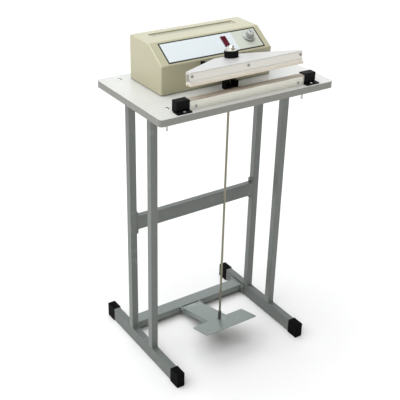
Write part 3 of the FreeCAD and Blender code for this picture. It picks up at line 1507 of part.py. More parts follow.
# Microswitch: screwed to the right bracket, above the arm's tail, which lifts as the jaw shuts
EYE_TOP = "(%s + arm_eye_radius)" % JAW_PIVOT_Z
SWITCH_BOTTOM = "(%s + seat_gap)" % EYE_TOP
case = box("microswitch_case", ("arm_thickness", "microswitch_length", "microswitch_height"),
           (BRACKET_INNER + " - arm_thickness", "jaw_pivot_place + microswitch_place",
            SWITCH_BOTTOM))
plunger = rod("microswitch_plunger", "plunger_diameter", "arm_eye_radius - arm_height / 2",
              (BRACKET_INNER + " - arm_thickness / 2", "jaw_pivot_place + plunger_place",
               SWITCH_BOTTOM + " - arm_eye_radius + arm_height / 2"))
keep("microswitch", fuse("microswitch", case, plunger))


def cable_gland():
    """A flanged gland through the rear wall, with a lock nut inside, bored right through."""
    height = "table_height + gland_height"
    start = ("gland_place", "housing_rear", height)
    flange = prism("gland_hexagon", "gland_width", "gland_flange", start, "+Y")
    nose = turned("gland_nose", (
        ("0", "gland_flange"), ("0.45 * gland_width", "gland_flange"),
        ("0.45 * gland_width", "0.7 * gland_length"),
        ("gland_bore / 2 + 0.75 * gland_wall", "gland_length"), ("0", "gland_length")))
    place(nose, *start, turn=TURNS["+Y"])
    inner = ("gland_place", "housing_rear - housing_wall - gland_thread", height)
    thread = rod("gland_thread_bar", "gland_bore + 2 * gland_wall",
                 "housing_wall + gland_thread", inner, "+Y")
    nut = prism("gland_lock_nut", "gland_width", "gland_nut",
                ("gland_place", "housing_rear - housing_wall - gland_nut", height), "+Y")
    bore = rod("gland_bore_cut", "gland_bore",
               "gland_length + housing_wall + gland_thread", inner, "+Y")
    return cut("cable_gland", fuse("cable_gland", flange, nose, thread, nut), bore)


keep("cable_gland", cable_gland())

# Check every object and write each sub-part
doc.recompute()
failed = [item.Name for item in doc.Objects
          if "Invalid" in item.State or "Error" in item.State]
if failed:
    raise RuntimeError("objects failed: " + ", ".join(failed))
os.makedirs("parts", exist_ok=True)
for node, piece in PARTS.items():
    if piece.Shape.isNull() or not piece.Shape.isValid():
        raise RuntimeError("bad shape: " + node)
    piece.Shape.exportStep("parts/%s.step" % node)
print(len(PARTS), "sub-parts written")
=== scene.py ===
import json
from math import cos, pi, radians, sin

import bmesh
import bpy
from mathutils import Matrix, Vector


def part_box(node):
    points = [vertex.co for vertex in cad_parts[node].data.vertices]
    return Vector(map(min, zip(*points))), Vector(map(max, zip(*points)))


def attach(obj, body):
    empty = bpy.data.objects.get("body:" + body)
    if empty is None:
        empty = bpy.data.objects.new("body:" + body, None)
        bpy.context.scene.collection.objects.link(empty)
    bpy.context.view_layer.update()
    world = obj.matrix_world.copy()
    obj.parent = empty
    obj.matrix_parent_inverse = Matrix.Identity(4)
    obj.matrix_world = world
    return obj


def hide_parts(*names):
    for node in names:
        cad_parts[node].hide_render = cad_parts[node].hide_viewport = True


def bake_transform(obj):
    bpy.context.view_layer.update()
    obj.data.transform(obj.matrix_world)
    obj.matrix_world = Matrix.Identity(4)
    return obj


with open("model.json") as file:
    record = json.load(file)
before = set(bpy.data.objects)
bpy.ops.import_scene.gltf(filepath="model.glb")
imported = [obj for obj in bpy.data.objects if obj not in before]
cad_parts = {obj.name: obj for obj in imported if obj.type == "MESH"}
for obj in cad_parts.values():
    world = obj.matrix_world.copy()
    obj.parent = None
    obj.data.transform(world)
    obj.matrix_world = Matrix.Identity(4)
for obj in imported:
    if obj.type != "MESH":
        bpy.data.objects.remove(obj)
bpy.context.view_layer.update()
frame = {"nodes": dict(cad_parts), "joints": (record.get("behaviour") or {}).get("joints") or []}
nodes = frame["nodes"]


# Camera: the photograph's viewpoint, from the front left and above, with a long lens. Its
# place and turn were fitted to the edges of the table, posts and rails.
camera_data = bpy.data.cameras.new("camera")
camera_data.lens = 72.96
camera_data.sensor_width = 36
camera_data.clip_end = 50
camera = bpy.data.objects.new("camera", camera_data)
bpy.context.scene.collection.objects.link(camera)
right = Vector((0.83157155, -0.55491594, 0.02360208))
up = Vector((0.24647634, 0.40677206, 0.87965101))
back = Vector((-0.49773304, -0.7256754, 0.47503373))
camera.matrix_world = Matrix.Translation((-1.1375, -1.62187, 1.49782)) @ Matrix(
    (right, up, back)).transposed().to_4x4()
bpy.context.scene.camera = camera


# Light and floor: a white studio lit from above and the left by one very broad light, so that
# faces to the front lie in half shade. A weaker one behind gives the tops a sheen. The room is
# dim overhead and pale towards the horizon, and the floor is plain and matt.
def broad_light(name, direction, spread, strength, colour):
    data = bpy.data.lights.new(name, "SUN")
    data.color = colour
    data.angle = radians(spread)
    data.energy = strength
    light = bpy.data.objects.new(name, data)
    bpy.context.scene.collection.objects.link(light)
    light.rotation_euler = Vector(direction).to_track_quat("-Z", "Y").to_euler()


broad_light("sky_panel", (0.3, -0.12, -0.94), 80, 3.9, (0.96, 1, 1.045))
broad_light("rear_panel", (-0.5, -0.66, -0.56), 50, 0.5, (0.96, 1, 1.05))
world = bpy.data.worlds.new("studio")
world.use_nodes = True
world_nodes = world.node_tree.nodes
world_links = world.node_tree.links
height = world_nodes.new("ShaderNodeSeparateXYZ")
world_links.new(world_nodes.new("ShaderNodeTexCoord").outputs["Generated"], height.inputs[0])
paling = world_nodes.new("ShaderNodeMapRange")
paling.interpolation_type = "SMOOTHSTEP"
world_links.new(height.outputs["Z"], paling.inputs["Value"])
for label, value in (("From Min", 0.02), ("From Max", 0.2),
                     ("To Min", 1.15), ("To Max", 0.14)):
    paling.inputs[label].default_value = value
world_nodes["Background"].inputs["Color"].default_value = (1, 0.978, 0.92, 1)
world_links.new(paling.outputs["Result"], world_nodes["Background"].inputs["Strength"])
bpy.context.scene.world = world

floor_mesh = bmesh.new()
bmesh.ops.create_grid(floor_mesh, x_segments=1, y_segments=1, size=40)
floor_data = bpy.data.meshes.new("studio_floor")
floor_mesh.to_mesh(floor_data)
floor_mesh.free()
floor = bpy.data.objects.new("studio_floor", floor_data)
bpy.context.scene.collection.objects.link(floor)
floor_paint = bpy.data.materials.new("floor_paint")
floor_paint.use_nodes = True
floor_paint.node_tree.nodes["Principled BSDF"].inputs["Base Color"].default_value = (
    0.835, 0.81, 0.785, 1)
floor_paint.node_tree.nodes["Principled BSDF"].inputs["Roughness"].default_value = 0.9
floor_data.materials.append(floor_paint)
bpy.context.scene.view_settings.view_transform = "Standard"


# Side frames: mild steel tube, 20 x 40 on the floor and 20 x 20 above, welded into two flat
# frames and stoved in grey enamel. The enamel has a fine orange peel and a few rubbed spots. The
# lower crossbar and lugs carry a lighter copy of it as painted light, and the foot rails a
# darker copy as painted shade.
def shader_group(name, inputs, outputs):
    tree = bpy.data.node_groups.new(name, "ShaderNodeTree")
    for label, kind, value in inputs:
        socket = tree.interface.new_socket(name=label, in_out="INPUT", socket_type=kind)
        socket.default_value = value
    for label, kind in outputs:
        tree.interface.new_socket(name=label, in_out="OUTPUT", socket_type=kind)
    return tree, tree.nodes.new("NodeGroupInput"), tree.nodes.new("NodeGroupOutput")


def math_node(tree, operation, *values):
    node = tree.nodes.new("ShaderNodeMath")
    node.operation = operation
    for index, value in enumerate(values):
        if isinstance(value, bpy.types.NodeSocket):
            tree.links.new(value, node.inputs[index])
        else:
            node.inputs[index].default_value = value
    return node.outputs[0]


def noise_node(tree, vector, scale, detail):
    node = tree.nodes.new("ShaderNodeTexNoise")
    node.inputs["Detail"].default_value = detail
    tree.links.new(vector, node.inputs["Vector"])
    if isinstance(scale, bpy.types.NodeSocket):
        tree.links.new(scale, node.inputs["Scale"])
    else:
        node.inputs["Scale"].default_value = scale
    return node.outputs["Fac"]


def build_grain():
    """Cloudy colour, uneven gloss and a fine height, all from noise in the piece's place."""
    tree, entry, leave = shader_group("surface_grain", (
        ("Color", "NodeSocketColor", (0.5, 0.5, 0.5, 1)),
        ("Roughness", "NodeSocketFloat", 0.5),
        ("Grain scale", "NodeSocketFloat", 900),
        ("Cloud scale", "NodeSocketFloat", 9),
        ("Cloud", "NodeSocketFloat", 0.08),
        ("Speckle", "NodeSocketFloat", 0.05),
        ("Gloss spread", "NodeSocketFloat", 0.1),
        ("Stretch", "NodeSocketVector", (1, 1, 1))),
        (("Color", "NodeSocketColor"), ("Roughness", "NodeSocketFloat"),
         ("Height", "NodeSocketFloat")))
    place = tree.nodes.new("ShaderNodeTexCoord").outputs["Object"]
    drawn = tree.nodes.new("ShaderNodeVectorMath")
    drawn.operation = "MULTIPLY"
    tree.links.new(place, drawn.inputs[0])
    tree.links.new(entry.outputs["Stretch"], drawn.inputs[1])
    fine = noise_node(tree, drawn.outputs[0], entry.outputs["Grain scale"], 5)
    cloud = noise_node(tree, place, entry.outputs["Cloud scale"], 3)
    cloud_part = math_node(tree, "MULTIPLY", math_node(tree, "SUBTRACT", cloud, 0.5),
                           entry.outputs["Cloud"])
    speckle_part = math_node(tree, "MULTIPLY", math_node(tree, "SUBTRACT", fine, 0.5),
                             entry.outputs["Speckle"])
    value = math_node(tree, "ADD", math_node(tree, "ADD", cloud_part, speckle_part), 1)
    shade = tree.nodes.new("ShaderNodeHueSaturation")
    tree.links.new(entry.outputs["Color"], shade.inputs["Color"])
    tree.links.new(value, shade.inputs["Value"])
    gloss = math_node(tree, "MULTIPLY", math_node(tree, "SUBTRACT", cloud, 0.5),
                      entry.outputs["Gloss spread"])
    tree.links.new(shade.outputs[0], leave.inputs["Color"])
    tree.links.new(math_node(tree, "ADD", entry.outputs["Roughness"], gloss),
                   leave.inputs["Roughness"])
    tree.links.new(fine, leave.inputs["Height"])
    return tree


def build_rubbing():
    """Small rubbed spots where the finish has gone thin, as a mask."""
    tree, entry, leave = shader_group("rubbed_spots", (
        ("Spot scale", "NodeSocketFloat", 35), ("Amount", "NodeSocketFloat", 0.4)),
        (("Mask", "NodeSocketFloat"),))
    place = tree.nodes.new("ShaderNodeTexCoord").outputs["Object"]
    spots = noise_node(tree, place, entry.outputs["Spot scale"], 9)
    sharp = math_node(tree, "MULTIPLY", math_node(tree, "SUBTRACT", spots, 0.62), 14)
    held = math_node(tree, "MAXIMUM", math_node(tree, "MINIMUM", sharp, 1), 0)
    tree.links.new(math_node(tree, "MULTIPLY", held, entry.outputs["Amount"]),
                   leave.inputs["Mask"])
    return tree


surface_grain = build_grain()
rubbed_spots = build_rubbing()


def finish(name, colour, roughness, metallic=0.0, bump=0.1, coat=0.0, shine=0.5, **grain):
    """A finish with cloudy colour, uneven gloss and fine grain. Returns its material."""
    material = bpy.data.materials.new(name)
    material.use_nodes = True
    tree = material.node_tree
    shader = tree.nodes["Principled BSDF"]
    shader.inputs["Metallic"].default_value = metallic
    shader.inputs["Specular IOR Level"].default_value = shine
    shader.inputs["Coat Weight"].default_value = coat
    shader.inputs["Coat Roughness"].default_value = 0.12
    group = tree.nodes.new("ShaderNodeGroup")
    group.name = "grain"
    group.node_tree = surface_grain
    group.inputs["Color"].default_value = (*colour, 1)
    group.inputs["Roughness"].default_value = roughness
    for label, value in grain.items():
        group.inputs[label.replace("_", " ").capitalize()].default_value = value
    height = tree.nodes.new("ShaderNodeBump")
    height.name = "relief"
    height.inputs["Strength"].default_value = bump
    height.inputs["Distance"].default_value = 0.0004
    tree.links.new(group.outputs["Color"], shader.inputs["Base Color"])
    tree.links.new(group.outputs["Roughness"], shader.inputs["Roughness"])
    tree.links.new(group.outputs["Height"], height.inputs["Height"])
    tree.links.new(height.outputs["Normal"], shader.inputs["Normal"])
    return material


def rub(material, colour, amount, spot_scale=35):
    """Lets a thinner undercoat show through a finish in small spots."""
    tree = material.node_tree
    shader = tree.nodes["Principled BSDF"]
    spots = tree.nodes.new("ShaderNodeGroup")
    spots.node_tree = rubbed_spots
    spots.inputs["Spot scale"].default_value = spot_scale
    spots.inputs["Amount"].default_value = amount
    mix = tree.nodes.new("ShaderNodeMix")
    mix.data_type = "RGBA"
    tree.links.new(spots.outputs["Mask"], mix.inputs["Factor"])
    tree.links.new(tree.nodes["grain"].outputs["Color"], mix.inputs["A"])
    mix.inputs["B"].default_value = (*colour, 1)
    tree.links.new(mix.outputs["Result"], shader.inputs["Base Color"])
    return material


def dress(material, *names):
    """Gives CAD nodes their finish."""
    for name in names:
        for slot in nodes[name].material_slots:
            slot.material = material


grey_enamel = rub(finish("grey_enamel", (0.155, 0.169, 0.155), 0.38, bump=0.25, coat=0.05,
                         grain_scale=420, cloud=0.1, speckle=0.1), (0.22, 0.235, 0.22), 0.5)
dress(grey_enamel, "left_front_post", "left_rear_post", "right_front_post",
      "right_rear_post", "left_top_rail", "right_top_rail", "mid_crossbar")
# Painted light: a lighter copy of the frame enamel on the lower crossbar and the pedal's lugs,
# against the table's shade.
dress(rub(finish("crossbar_enamel_painted_light", (0.195, 0.214, 0.2), 0.36, bump=0.25, coat=0.05,
                 grain_scale=420, cloud=0.1, speckle=0.1), (0.25, 0.27, 0.255), 0.5, 28),
      "lower_crossbar", "pedal_hinge_lugs")
# Painted shade: a darker copy of the frame enamel on the foot rails, low down by the floor.
dress(rub(finish("rail_enamel_painted_shade", (0.118, 0.129, 0.118), 0.42, bump=0.25, coat=0.03,
                 grain_scale=420, cloud=0.16, speckle=0.12), (0.19, 0.2, 0.19), 0.6, 28),
      "left_foot_rail", "right_foot_rail")


# Weld beads: a run of weld along each joint of the tubes, where the sides aren't ground
# flush, and round the crossbars' end plates and the pedal's lugs. Painted with the frame.
def new_piece(name, mesh, material, body="root", replaced=(), smooth=30):
    """Closes a mesh as a piece at the origin that rides on a body, or on none."""
    bmesh.ops.recalc_face_normals(mesh, faces=mesh.faces)
    data = bpy.data.meshes.new(name)
    mesh.to_mesh(data)
    mesh.free()
    for polygon in data.polygons:
        polygon.use_smooth = True
    data.set_sharp_from_angle(angle=radians(smooth))
    piece = bpy.data.objects.new(name, data)
    bpy.context.scene.collection.objects.link(piece)
    data.materials.append(material)
    if body:
        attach(piece, body)
    if replaced:
        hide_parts(*replaced)
    return piece


def add_copy(mesh, data, matrix):
    """Adds a copy of a mesh in a new place."""
    before = len(mesh.verts)
    mesh.from_mesh(data)
    mesh.verts.ensure_lookup_table()
    bmesh.ops.transform(mesh, verts=mesh.verts[before:], matrix=matrix)


def drop(data):
    bpy.data.meshes.remove(data)


def weld_bead(mesh, start, end, radius=0.0016):
    """A rippled bead from one point to another."""
    run = Vector(end) - Vector(start)
    ripples = max(4, int(run.length / 0.0021))
    bead = bmesh.new()
    bmesh.ops.create_cone(bead, cap_ends=True, segments=8, radius1=radius, radius2=radius,
                          depth=run.length)
    long_edges = [edge for edge in bead.edges
                  if abs(edge.verts[0].co.z - edge.verts[1].co.z) > 1e-5]
    bmesh.ops.subdivide_edges(bead, edges=long_edges, cuts=ripples)
    for vert in bead.verts:
        if round((vert.co.z / run.length + 0.5) * (ripples + 1)) % 2:
            vert.co.x *= 0.72
            vert.co.y *= 0.72
    data = bpy.data.meshes.new("bead")
    bead.to_mesh(data)
    bead.free()
    turn = run.to_track_quat("Z", "Y").to_matrix().to_4x4()
    add_copy(mesh, data, Matrix.Translation((Vector(start) + Vector(end)) / 2) @ turn)
    drop(data)


BEAD_PROUD, BEAD_SUNK, BEAD_SHORT = 0.0004, 0.0006, 0.001
weld_mesh = bmesh.new()
for post in ("left_front_post", "left_rear_post", "right_front_post", "right_rear_post"):
    low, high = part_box(post)
    for z in (low.z + BEAD_SUNK, high.z - BEAD_SUNK):
        for y in (low.y - BEAD_PROUD, high.y + BEAD_PROUD):
            weld_bead(weld_mesh, (low.x + BEAD_SHORT, y, z), (high.x - BEAD_SHORT, y, z))
PLATE = 0.004
MARGIN = 0.012
for bar, along_y, along_z in (("mid_crossbar", 0, MARGIN), ("lower_crossbar", MARGIN, 0)):
    low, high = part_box(bar)
    y_low, y_high = low.y + along_y, high.y - along_y
    z_low, z_high = low.z + along_z, high.z - along_z
    for x in (low.x + PLATE + 0.0005, high.x - PLATE - 0.0005):
        if along_z:
            for z in (z_low - BEAD_PROUD, z_high + BEAD_PROUD):
                weld_bead(weld_mesh, (x, y_low + BEAD_SHORT, z), (x, y_high - BEAD_SHORT, z))
        else:
            for y in (y_low - BEAD_PROUD, y_high + BEAD_PROUD):
                weld_bead(weld_mesh, (x, y, z_low + BEAD_SHORT), (x, y, z_high - BEAD_SHORT))
low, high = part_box("pedal_hinge_lugs")
LUG = 0.004
for x in (low.x - 0.0002, low.x + LUG + 0.0002, high.x - LUG - 0.0002, high.x + 0.0002):
    weld_bead(weld_mesh, (x, high.y - BEAD_SUNK, low.z + BEAD_SHORT),
              (x, high.y - BEAD_SUNK, high.z - 0.003))
new_piece("weld_beads", weld_mesh, grey_enamel, smooth=50)


# End caps: black moulded polythene sleeves pushed over the ends of the foot rails. They are
# what the stand rests on, so their finish is matt and slightly scuffed.
black_cap = rub(finish("black_cap", (0.003, 0.003, 0.003), 0.6, bump=0.2, shine=0.03,
                       grain_scale=1500, cloud=0.3, speckle=0.3),
                (0.012, 0.012, 0.011), 0.5, 60)
dress(black_cap, "rail_end_caps")


# Crossbar bolts: dark zinc plated button heads with a hexagon socket, through the crossbars'
# end plates into the tubes of the side frames.
def socket_points(radius):
    return [(radius * cos(index * pi / 3), radius * sin(index * pi / 3)) for index in range(6)]


def cross_points(radius, half):
    """A cross of four arms, as a closed outline."""
    corner = [(radius, -half), (radius, half), (half, half)]
    points = []
    for quarter in range(4):
        turn = quarter * pi / 2
        points += [(x * cos(turn) - y * sin(turn), x * sin(turn) + y * cos(turn))
                   for x, y in corner]
    return points


def spun(profile, steps=24):
    """A mesh from radius and height pairs, turned about Z."""
    mesh = bmesh.new()
    points = [mesh.verts.new((radius, 0, height)) for radius, height in profile]
    lines = [mesh.edges.new(pair) for pair in zip(points, points[1:])]
    bmesh.ops.spin(mesh, geom=points + lines, cent=(0, 0, 0), axis=(0, 0, 1), angle=2 * pi,
                   steps=steps, use_merge=True)
    bmesh.ops.remove_doubles(mesh, verts=mesh.verts, dist=1e-6)
    return mesh


def headed(shank, length, head, rise, recess, depth):
    """A bolt or screw on Z: its shank upwards from the seat, its recessed head below."""
    mesh = spun([(0, length), (shank * 0.8, length), (shank, length - 0.2 * shank), (shank, 0),
                 (head, 0), (head, -0.35 * rise), (0.93 * head, -0.62 * rise),
                 (0.8 * head, -0.85 * rise), (0.62 * head, -rise)])
    rim = [edge for edge in mesh.edges
           if all(abs(vert.co.z + rise) < 1e-7 for vert in edge.verts)]
    mouth = [mesh.verts.new((x, y, -rise)) for x, y in recess]
    lip = [mesh.edges.new((mouth[index - 1], mouth[index])) for index in range(len(mouth))]
    bmesh.ops.bridge_loops(mesh, edges=rim + lip)
    walls = bmesh.ops.extrude_edge_only(mesh, edges=lip)["geom"]
    sunk = [item for item in walls if isinstance(item, bmesh.types.BMVert)]
    bmesh.ops.translate(mesh, verts=sunk, vec=(0, 0, depth))
    bottom = [item for item in walls if isinstance(item, bmesh.types.BMEdge)
              and all(vert in sunk for vert in item.verts)]
    bmesh.ops.edgenet_fill(mesh, edges=bottom)
    bmesh.ops.recalc_face_normals(mesh, faces=mesh.faces)
    data = bpy.data.meshes.new("fixing")
    mesh.to_mesh(data)
    mesh.free()
    return data


def facing(place, direction):
    """The place of a fixing whose shank points along a direction."""
    return Matrix.Translation(place) @ Vector(direction).to_track_quat(
        "Z", "Y").to_matrix().to_4x4()


zinc = finish("zinc_plate", (0.5, 0.51, 0.52), 0.34, metallic=1, bump=0.12, grain_scale=700,
              cloud_scale=60, cloud=0.35, speckle=0.12, gloss_spread=0.25)
frame_bolt = headed(0.003, 0.014, 0.0055, 0.0035, socket_points(0.0021), 0.002)
bolt_mesh = bmesh.new()
for bar, upright in (("mid_crossbar", True), ("lower_crossbar", False)):
    low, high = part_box(bar)
    if upright:
        places = [((low.y + high.y) / 2, z) for z in (low.z + MARGIN / 2, high.z - MARGIN / 2)]
    else:
        places = [(y, (low.z + high.z) / 2) for y in (low.y + MARGIN / 2, high.y - MARGIN / 2)]
    for y, z in places:
        for x, outwards in ((low.x + PLATE, -1), (high.x - PLATE, 1)):
            add_copy(bolt_mesh, frame_bolt, facing((x, y, z), (outwards, 0, 0)))
drop(frame_bolt)
dark_zinc = finish("dark_zinc", (0.2, 0.2, 0.2), 0.42, metallic=0.9, bump=0.12,
                   grain_scale=700, cloud_scale=60, cloud=0.3, speckle=0.1)
new_piece("crossbar_bolt_set", bolt_mesh, dark_zinc,
          replaced=["crossbar_bolts"], smooth=35)


# Table: a board faced in white melamine, edged with a grey band, and bolted through the top
# rails of the stand with washers and nuts underneath.
melamine = finish("white_melamine", (0.61, 0.60, 0.56), 0.32, bump=0.05, coat=0.12,
                  grain_scale=2600, cloud_scale=4, cloud=0.03, speckle=0.02, gloss_spread=0.15)
edging = finish("grey_edging", (0.255, 0.252, 0.228), 0.45, bump=0.12, grain_scale=1600,
                cloud_scale=14, cloud=0.08, speckle=0.08, stretch=(0.15, 0.15, 1))
dress(melamine, "table_top")
dress(edging, "table_edge_band")
dress(zinc, "table_washers", "table_nuts")
low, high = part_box("table_bolts")
HEAD_RADIUS, HEAD_RISE = 0.0055, 0.0018
table_bolt = headed(0.003, high.z - HEAD_RISE - low.z, HEAD_RADIUS, HEAD_RISE,
                    socket_points(0.0019), 0.0007)
bolt_mesh = bmesh.new()
for x in (low.x + HEAD_RADIUS, high.x - HEAD_RADIUS):
    for y in (low.y + HEAD_RADIUS, high.y - HEAD_RADIUS):
        add_copy(bolt_mesh, table_bolt, facing((x, y, high.z - HEAD_RISE), (0, 0, -1)))
drop(table_bolt)
new_piece("table_bolt_set", bolt_mesh, zinc, replaced=["table_bolts"],
          smooth=35)


# Lower jaw: an aluminium bar with a pale anodised finish, painted lighter and less metallic than
# the upper bar as painted light against the jaw's shade, screwed down to the table, with a strip
# of glass cloth, the flat heating wire and brass terminals at its ends.
# Painted light: the pale anodised colour is raised and made less metallic against the shade
# under the upper jaw.
anodised = finish("pale_anodised_painted_light", (0.87, 0.855, 0.765), 0.38, metallic=0.15, bump=0.06,
                  grain_scale=1400, cloud_scale=16, cloud=0.14, speckle=0.08,
                  gloss_spread=0.1, stretch=(0.02, 1, 1))
dress(anodised, "lower_bar")
glass_cloth = finish("glass_cloth", (0.62, 0.5, 0.36), 0.8, bump=0.3, grain_scale=2500)
dress(finish("heating_alloy", (0.45, 0.43, 0.41), 0.3, metallic=1, grain_scale=1200,
             speckle=0.15, stretch=(0.02, 1, 1)), "heating_strip")
dress(finish("brass_block", (0.62, 0.45, 0.2), 0.32, metallic=1, grain_scale=900,
             cloud_scale=40, cloud=0.15, speckle=0.1), "heater_terminals")


# Release cloth: tan glass cloth coated in PTFE, stretched over the heating strip and down both
# faces of the lower bar. It is thin, so it shows a faint weave and slight waves.
def build_weave():
    """A plain weave of two crossing threads, as a height and a light and dark mask."""
    tree, entry, leave = shader_group("plain_weave", (
        ("Threads", "NodeSocketFloat", 900),), (("Height", "NodeSocketFloat"),))
    place = tree.nodes.new("ShaderNodeTexCoord").outputs["Object"]
    parts = tree.nodes.new("ShaderNodeSeparateXYZ")
    tree.links.new(place, parts.inputs[0])
    across = math_node(tree, "SINE", math_node(tree, "MULTIPLY", parts.outputs["X"],
                                               entry.outputs["Threads"]))
    other = math_node(tree, "ADD", parts.outputs["Y"], parts.outputs["Z"])
    down = math_node(tree, "SINE", math_node(tree, "MULTIPLY", other,
                                             entry.outputs["Threads"]))
    crossed = math_node(tree, "MULTIPLY", across, down)
    tree.links.new(math_node(tree, "MULTIPLY_ADD", crossed, 0.5, 0.5), leave.inputs["Height"])
    return tree


plain_weave = build_weave()


def weave(material, threads, dark):
    """Adds a weave to a finish: its relief, and a darker colour between the threads."""
    tree = material.node_tree
    threads_node = tree.nodes.new("ShaderNodeGroup")
    threads_node.node_tree = plain_weave
    threads_node.inputs["Threads"].default_value = threads
    mix = tree.nodes.new("ShaderNodeMix")
    mix.data_type = "RGBA"
    tree.links.new(threads_node.outputs["Height"], mix.inputs["Factor"])
    mix.inputs["A"].default_value = (*dark, 1)
    tree.links.new(tree.nodes["grain"].outputs["Color"], mix.inputs["B"])
    tree.links.new(mix.outputs["Result"],
                   tree.nodes["Principled BSDF"].inputs["Base Color"])
    tree.links.new(threads_node.outputs["Height"], tree.nodes["relief"].inputs["Height"])
    return material


release_cloth = weave(finish("release_cloth", (0.50, 0.425, 0.335), 0.42, bump=0.35, coat=0.1,
                             cloud_scale=25, cloud=0.25), 2600, (0.39, 0.325, 0.25))
weave(glass_cloth, 2200, (0.45, 0.36, 0.26))
low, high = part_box("backing_strip")
tape_mesh = bmesh.new()
bmesh.ops.create_grid(tape_mesh, x_segments=60, y_segments=4, size=0.5)
bmesh.ops.scale(tape_mesh, verts=tape_mesh.verts, vec=(high.x - low.x, high.y - low.y, 1))
bmesh.ops.translate(tape_mesh, verts=tape_mesh.verts, vec=(low + high) / 2)
tape_piece = new_piece("backing_tape", tape_mesh, glass_cloth,
                       replaced=["backing_strip"])
thick = tape_piece.modifiers.new("tape_thickness", "SOLIDIFY")
thick.thickness = high.z - low.z
thick.offset = 0
low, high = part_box("ptfe_cloth")
bar_low, bar_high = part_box("lower_bar")
CLOTH = 0.00025
FLAP = 0.002
CLEAR = 0.00012
section = [(bar_low.y - CLEAR, bar_high.z - FLAP), (bar_low.y - CLEAR, bar_high.z - 0.001),
           (bar_low.y - CLEAR, bar_high.z + CLEAR), (bar_low.y + 0.0032, high.z - CLOTH),
           ((low.y + high.y) / 2, high.z - CLOTH), (bar_high.y - 0.0032, high.z - CLOTH),
           (bar_high.y + CLEAR, bar_high.z + CLEAR), (bar_high.y + CLEAR, bar_high.z - 0.001),
           (bar_high.y + CLEAR, bar_high.z - FLAP)]
cloth_mesh = bmesh.new()
points = [cloth_mesh.verts.new((low.x, y, z)) for y, z in section]
for pair in zip(points, points[1:]):
    cloth_mesh.edges.new(pair)
STEPS = 90
line = list(cloth_mesh.edges)
for step in range(STEPS):
    made = bmesh.ops.extrude_edge_only(cloth_mesh, edges=line)["geom"]
    moved = [item for item in made if isinstance(item, bmesh.types.BMVert)]
    bmesh.ops.translate(cloth_mesh, verts=moved, vec=((high.x - low.x) / STEPS, 0, 0))
    line = [item for item in made if isinstance(item, bmesh.types.BMEdge)
            and all(vert in moved for vert in item.verts)]
for vert in cloth_mesh.verts:
    hang = max(0, min(1, (bar_high.z - vert.co.z) / FLAP))
    wave = 0.0001 * (1 + sin(vert.co.x * 95) * sin(vert.co.x * 37 + 1))
    if hang > 0.02:
        side = -1 if vert.co.y < (low.y + high.y) / 2 else 1
        vert.co.y += side * hang * wave
        vert.co.z += 0.0003 * hang * sin(vert.co.x * 61 + side)
cloth_piece = new_piece("release_cloth", cloth_mesh, release_cloth,
                        replaced=["ptfe_cloth"], smooth=60)
thick = cloth_piece.modifiers.new("cloth_thickness", "SOLIDIFY")
thick.thickness = CLOTH
thick.offset = 0


# End covers: black moulded caps over the terminals, each held by a screw through its flange.
# The lower bar's own screws sit in its front face. All are zinc plated with a cross recess.
moulding = finish("black_moulding", (0.004, 0.004, 0.004), 0.45, bump=0.3, shine=0.07,
                  grain_scale=1300, cloud=0.2, speckle=0.3, gloss_spread=0.1)
dress(moulding, "left_end_cover", "right_end_cover")
SCREW_HEAD, SCREW_RISE, SCREW_SHANK = 0.0037, 0.0022, 0.002
CROSS, CROSS_DEPTH = cross_points(0.002, 0.0005), 0.0012
low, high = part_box("lower_jaw_screws")
face_screw = headed(SCREW_SHANK, 0.008, SCREW_HEAD, SCREW_RISE, CROSS, CROSS_DEPTH)
cover_screw = headed(SCREW_SHANK, 0.003, SCREW_HEAD, SCREW_RISE, CROSS, CROSS_DEPTH)
screw_mesh = bmesh.new()
BAR_MIDDLE, SPACING = (bar_low.x + bar_high.x) / 2, 0.154
for sign in (-1, 1):
    add_copy(screw_mesh, face_screw, facing(
        (BAR_MIDDLE + sign * SPACING, bar_low.y, bar_low.z + 0.008), (0, 1, 0)))
for x in (low.x + SCREW_HEAD, high.x - SCREW_HEAD):
    add_copy(screw_mesh, cover_screw, facing((x, low.y + SCREW_HEAD, low.z + 0.003),
                                             (0, 0, -1)))
drop(cover_screw)
new_piece("lower_screw_set", screw_mesh, zinc,
          replaced=["lower_jaw_screws"], smooth=35)


# Guide block: a black moulded block on the table, with a slot and a front notch that keep the
# rod in line.
dress(moulding, "rod_guide_block")


# Upper jaw: a pale anodised bar under a thin plate that narrows to the rear, both modelled
# lifted about the jaw's hinge, with three screws in the bar's face.
jaw_hinge = next(joint for joint in frame["joints"] if joint["name"] == "jaw_hinge")
HINGE = Vector(jaw_hinge["pos_m"])
LIFT = Matrix.Translation(HINGE) @ Matrix.Rotation(
    -radians(jaw_hinge["range_deg"][1]), 4, "X") @ Matrix.Translation(-HINGE)
dress(finish("worn_anodised", (0.74, 0.72, 0.665), 0.4, metallic=0.8, bump=0.06,
             grain_scale=1400, cloud_scale=7, cloud=0.06, speckle=0.08, gloss_spread=0.1,
             stretch=(0.02, 1, 1)), "upper_bar")
dress(finish("satin_anodised", (0.62, 0.605, 0.575), 0.4, metallic=0.3, bump=0.06,
             grain_scale=1400, cloud_scale=7, cloud=0.05, speckle=0.06,
             stretch=(0.02, 1, 1)), "jaw_top_plate")
screw_mesh = bmesh.new()
BAR_FACE_Y, SCREW_Z, SCREW_SPACING = -0.1555, 0.835, 0.161
for sign in (-1, 0, 1):
    add_copy(screw_mesh, face_screw,
             LIFT @ facing((sign * SCREW_SPACING, BAR_FACE_Y, SCREW_Z), (0, 1, 0)))
drop(face_screw)
jaw_zinc = finish("dulled_zinc", (0.34, 0.335, 0.31), 0.4, metallic=0.7, bump=0.12,
                  grain_scale=700, cloud_scale=60, cloud=0.3, speckle=0.1)
new_piece("jaw_screw_set", screw_mesh, jaw_zinc, body="jaw_arm",
          replaced=["jaw_screws"], smooth=35)
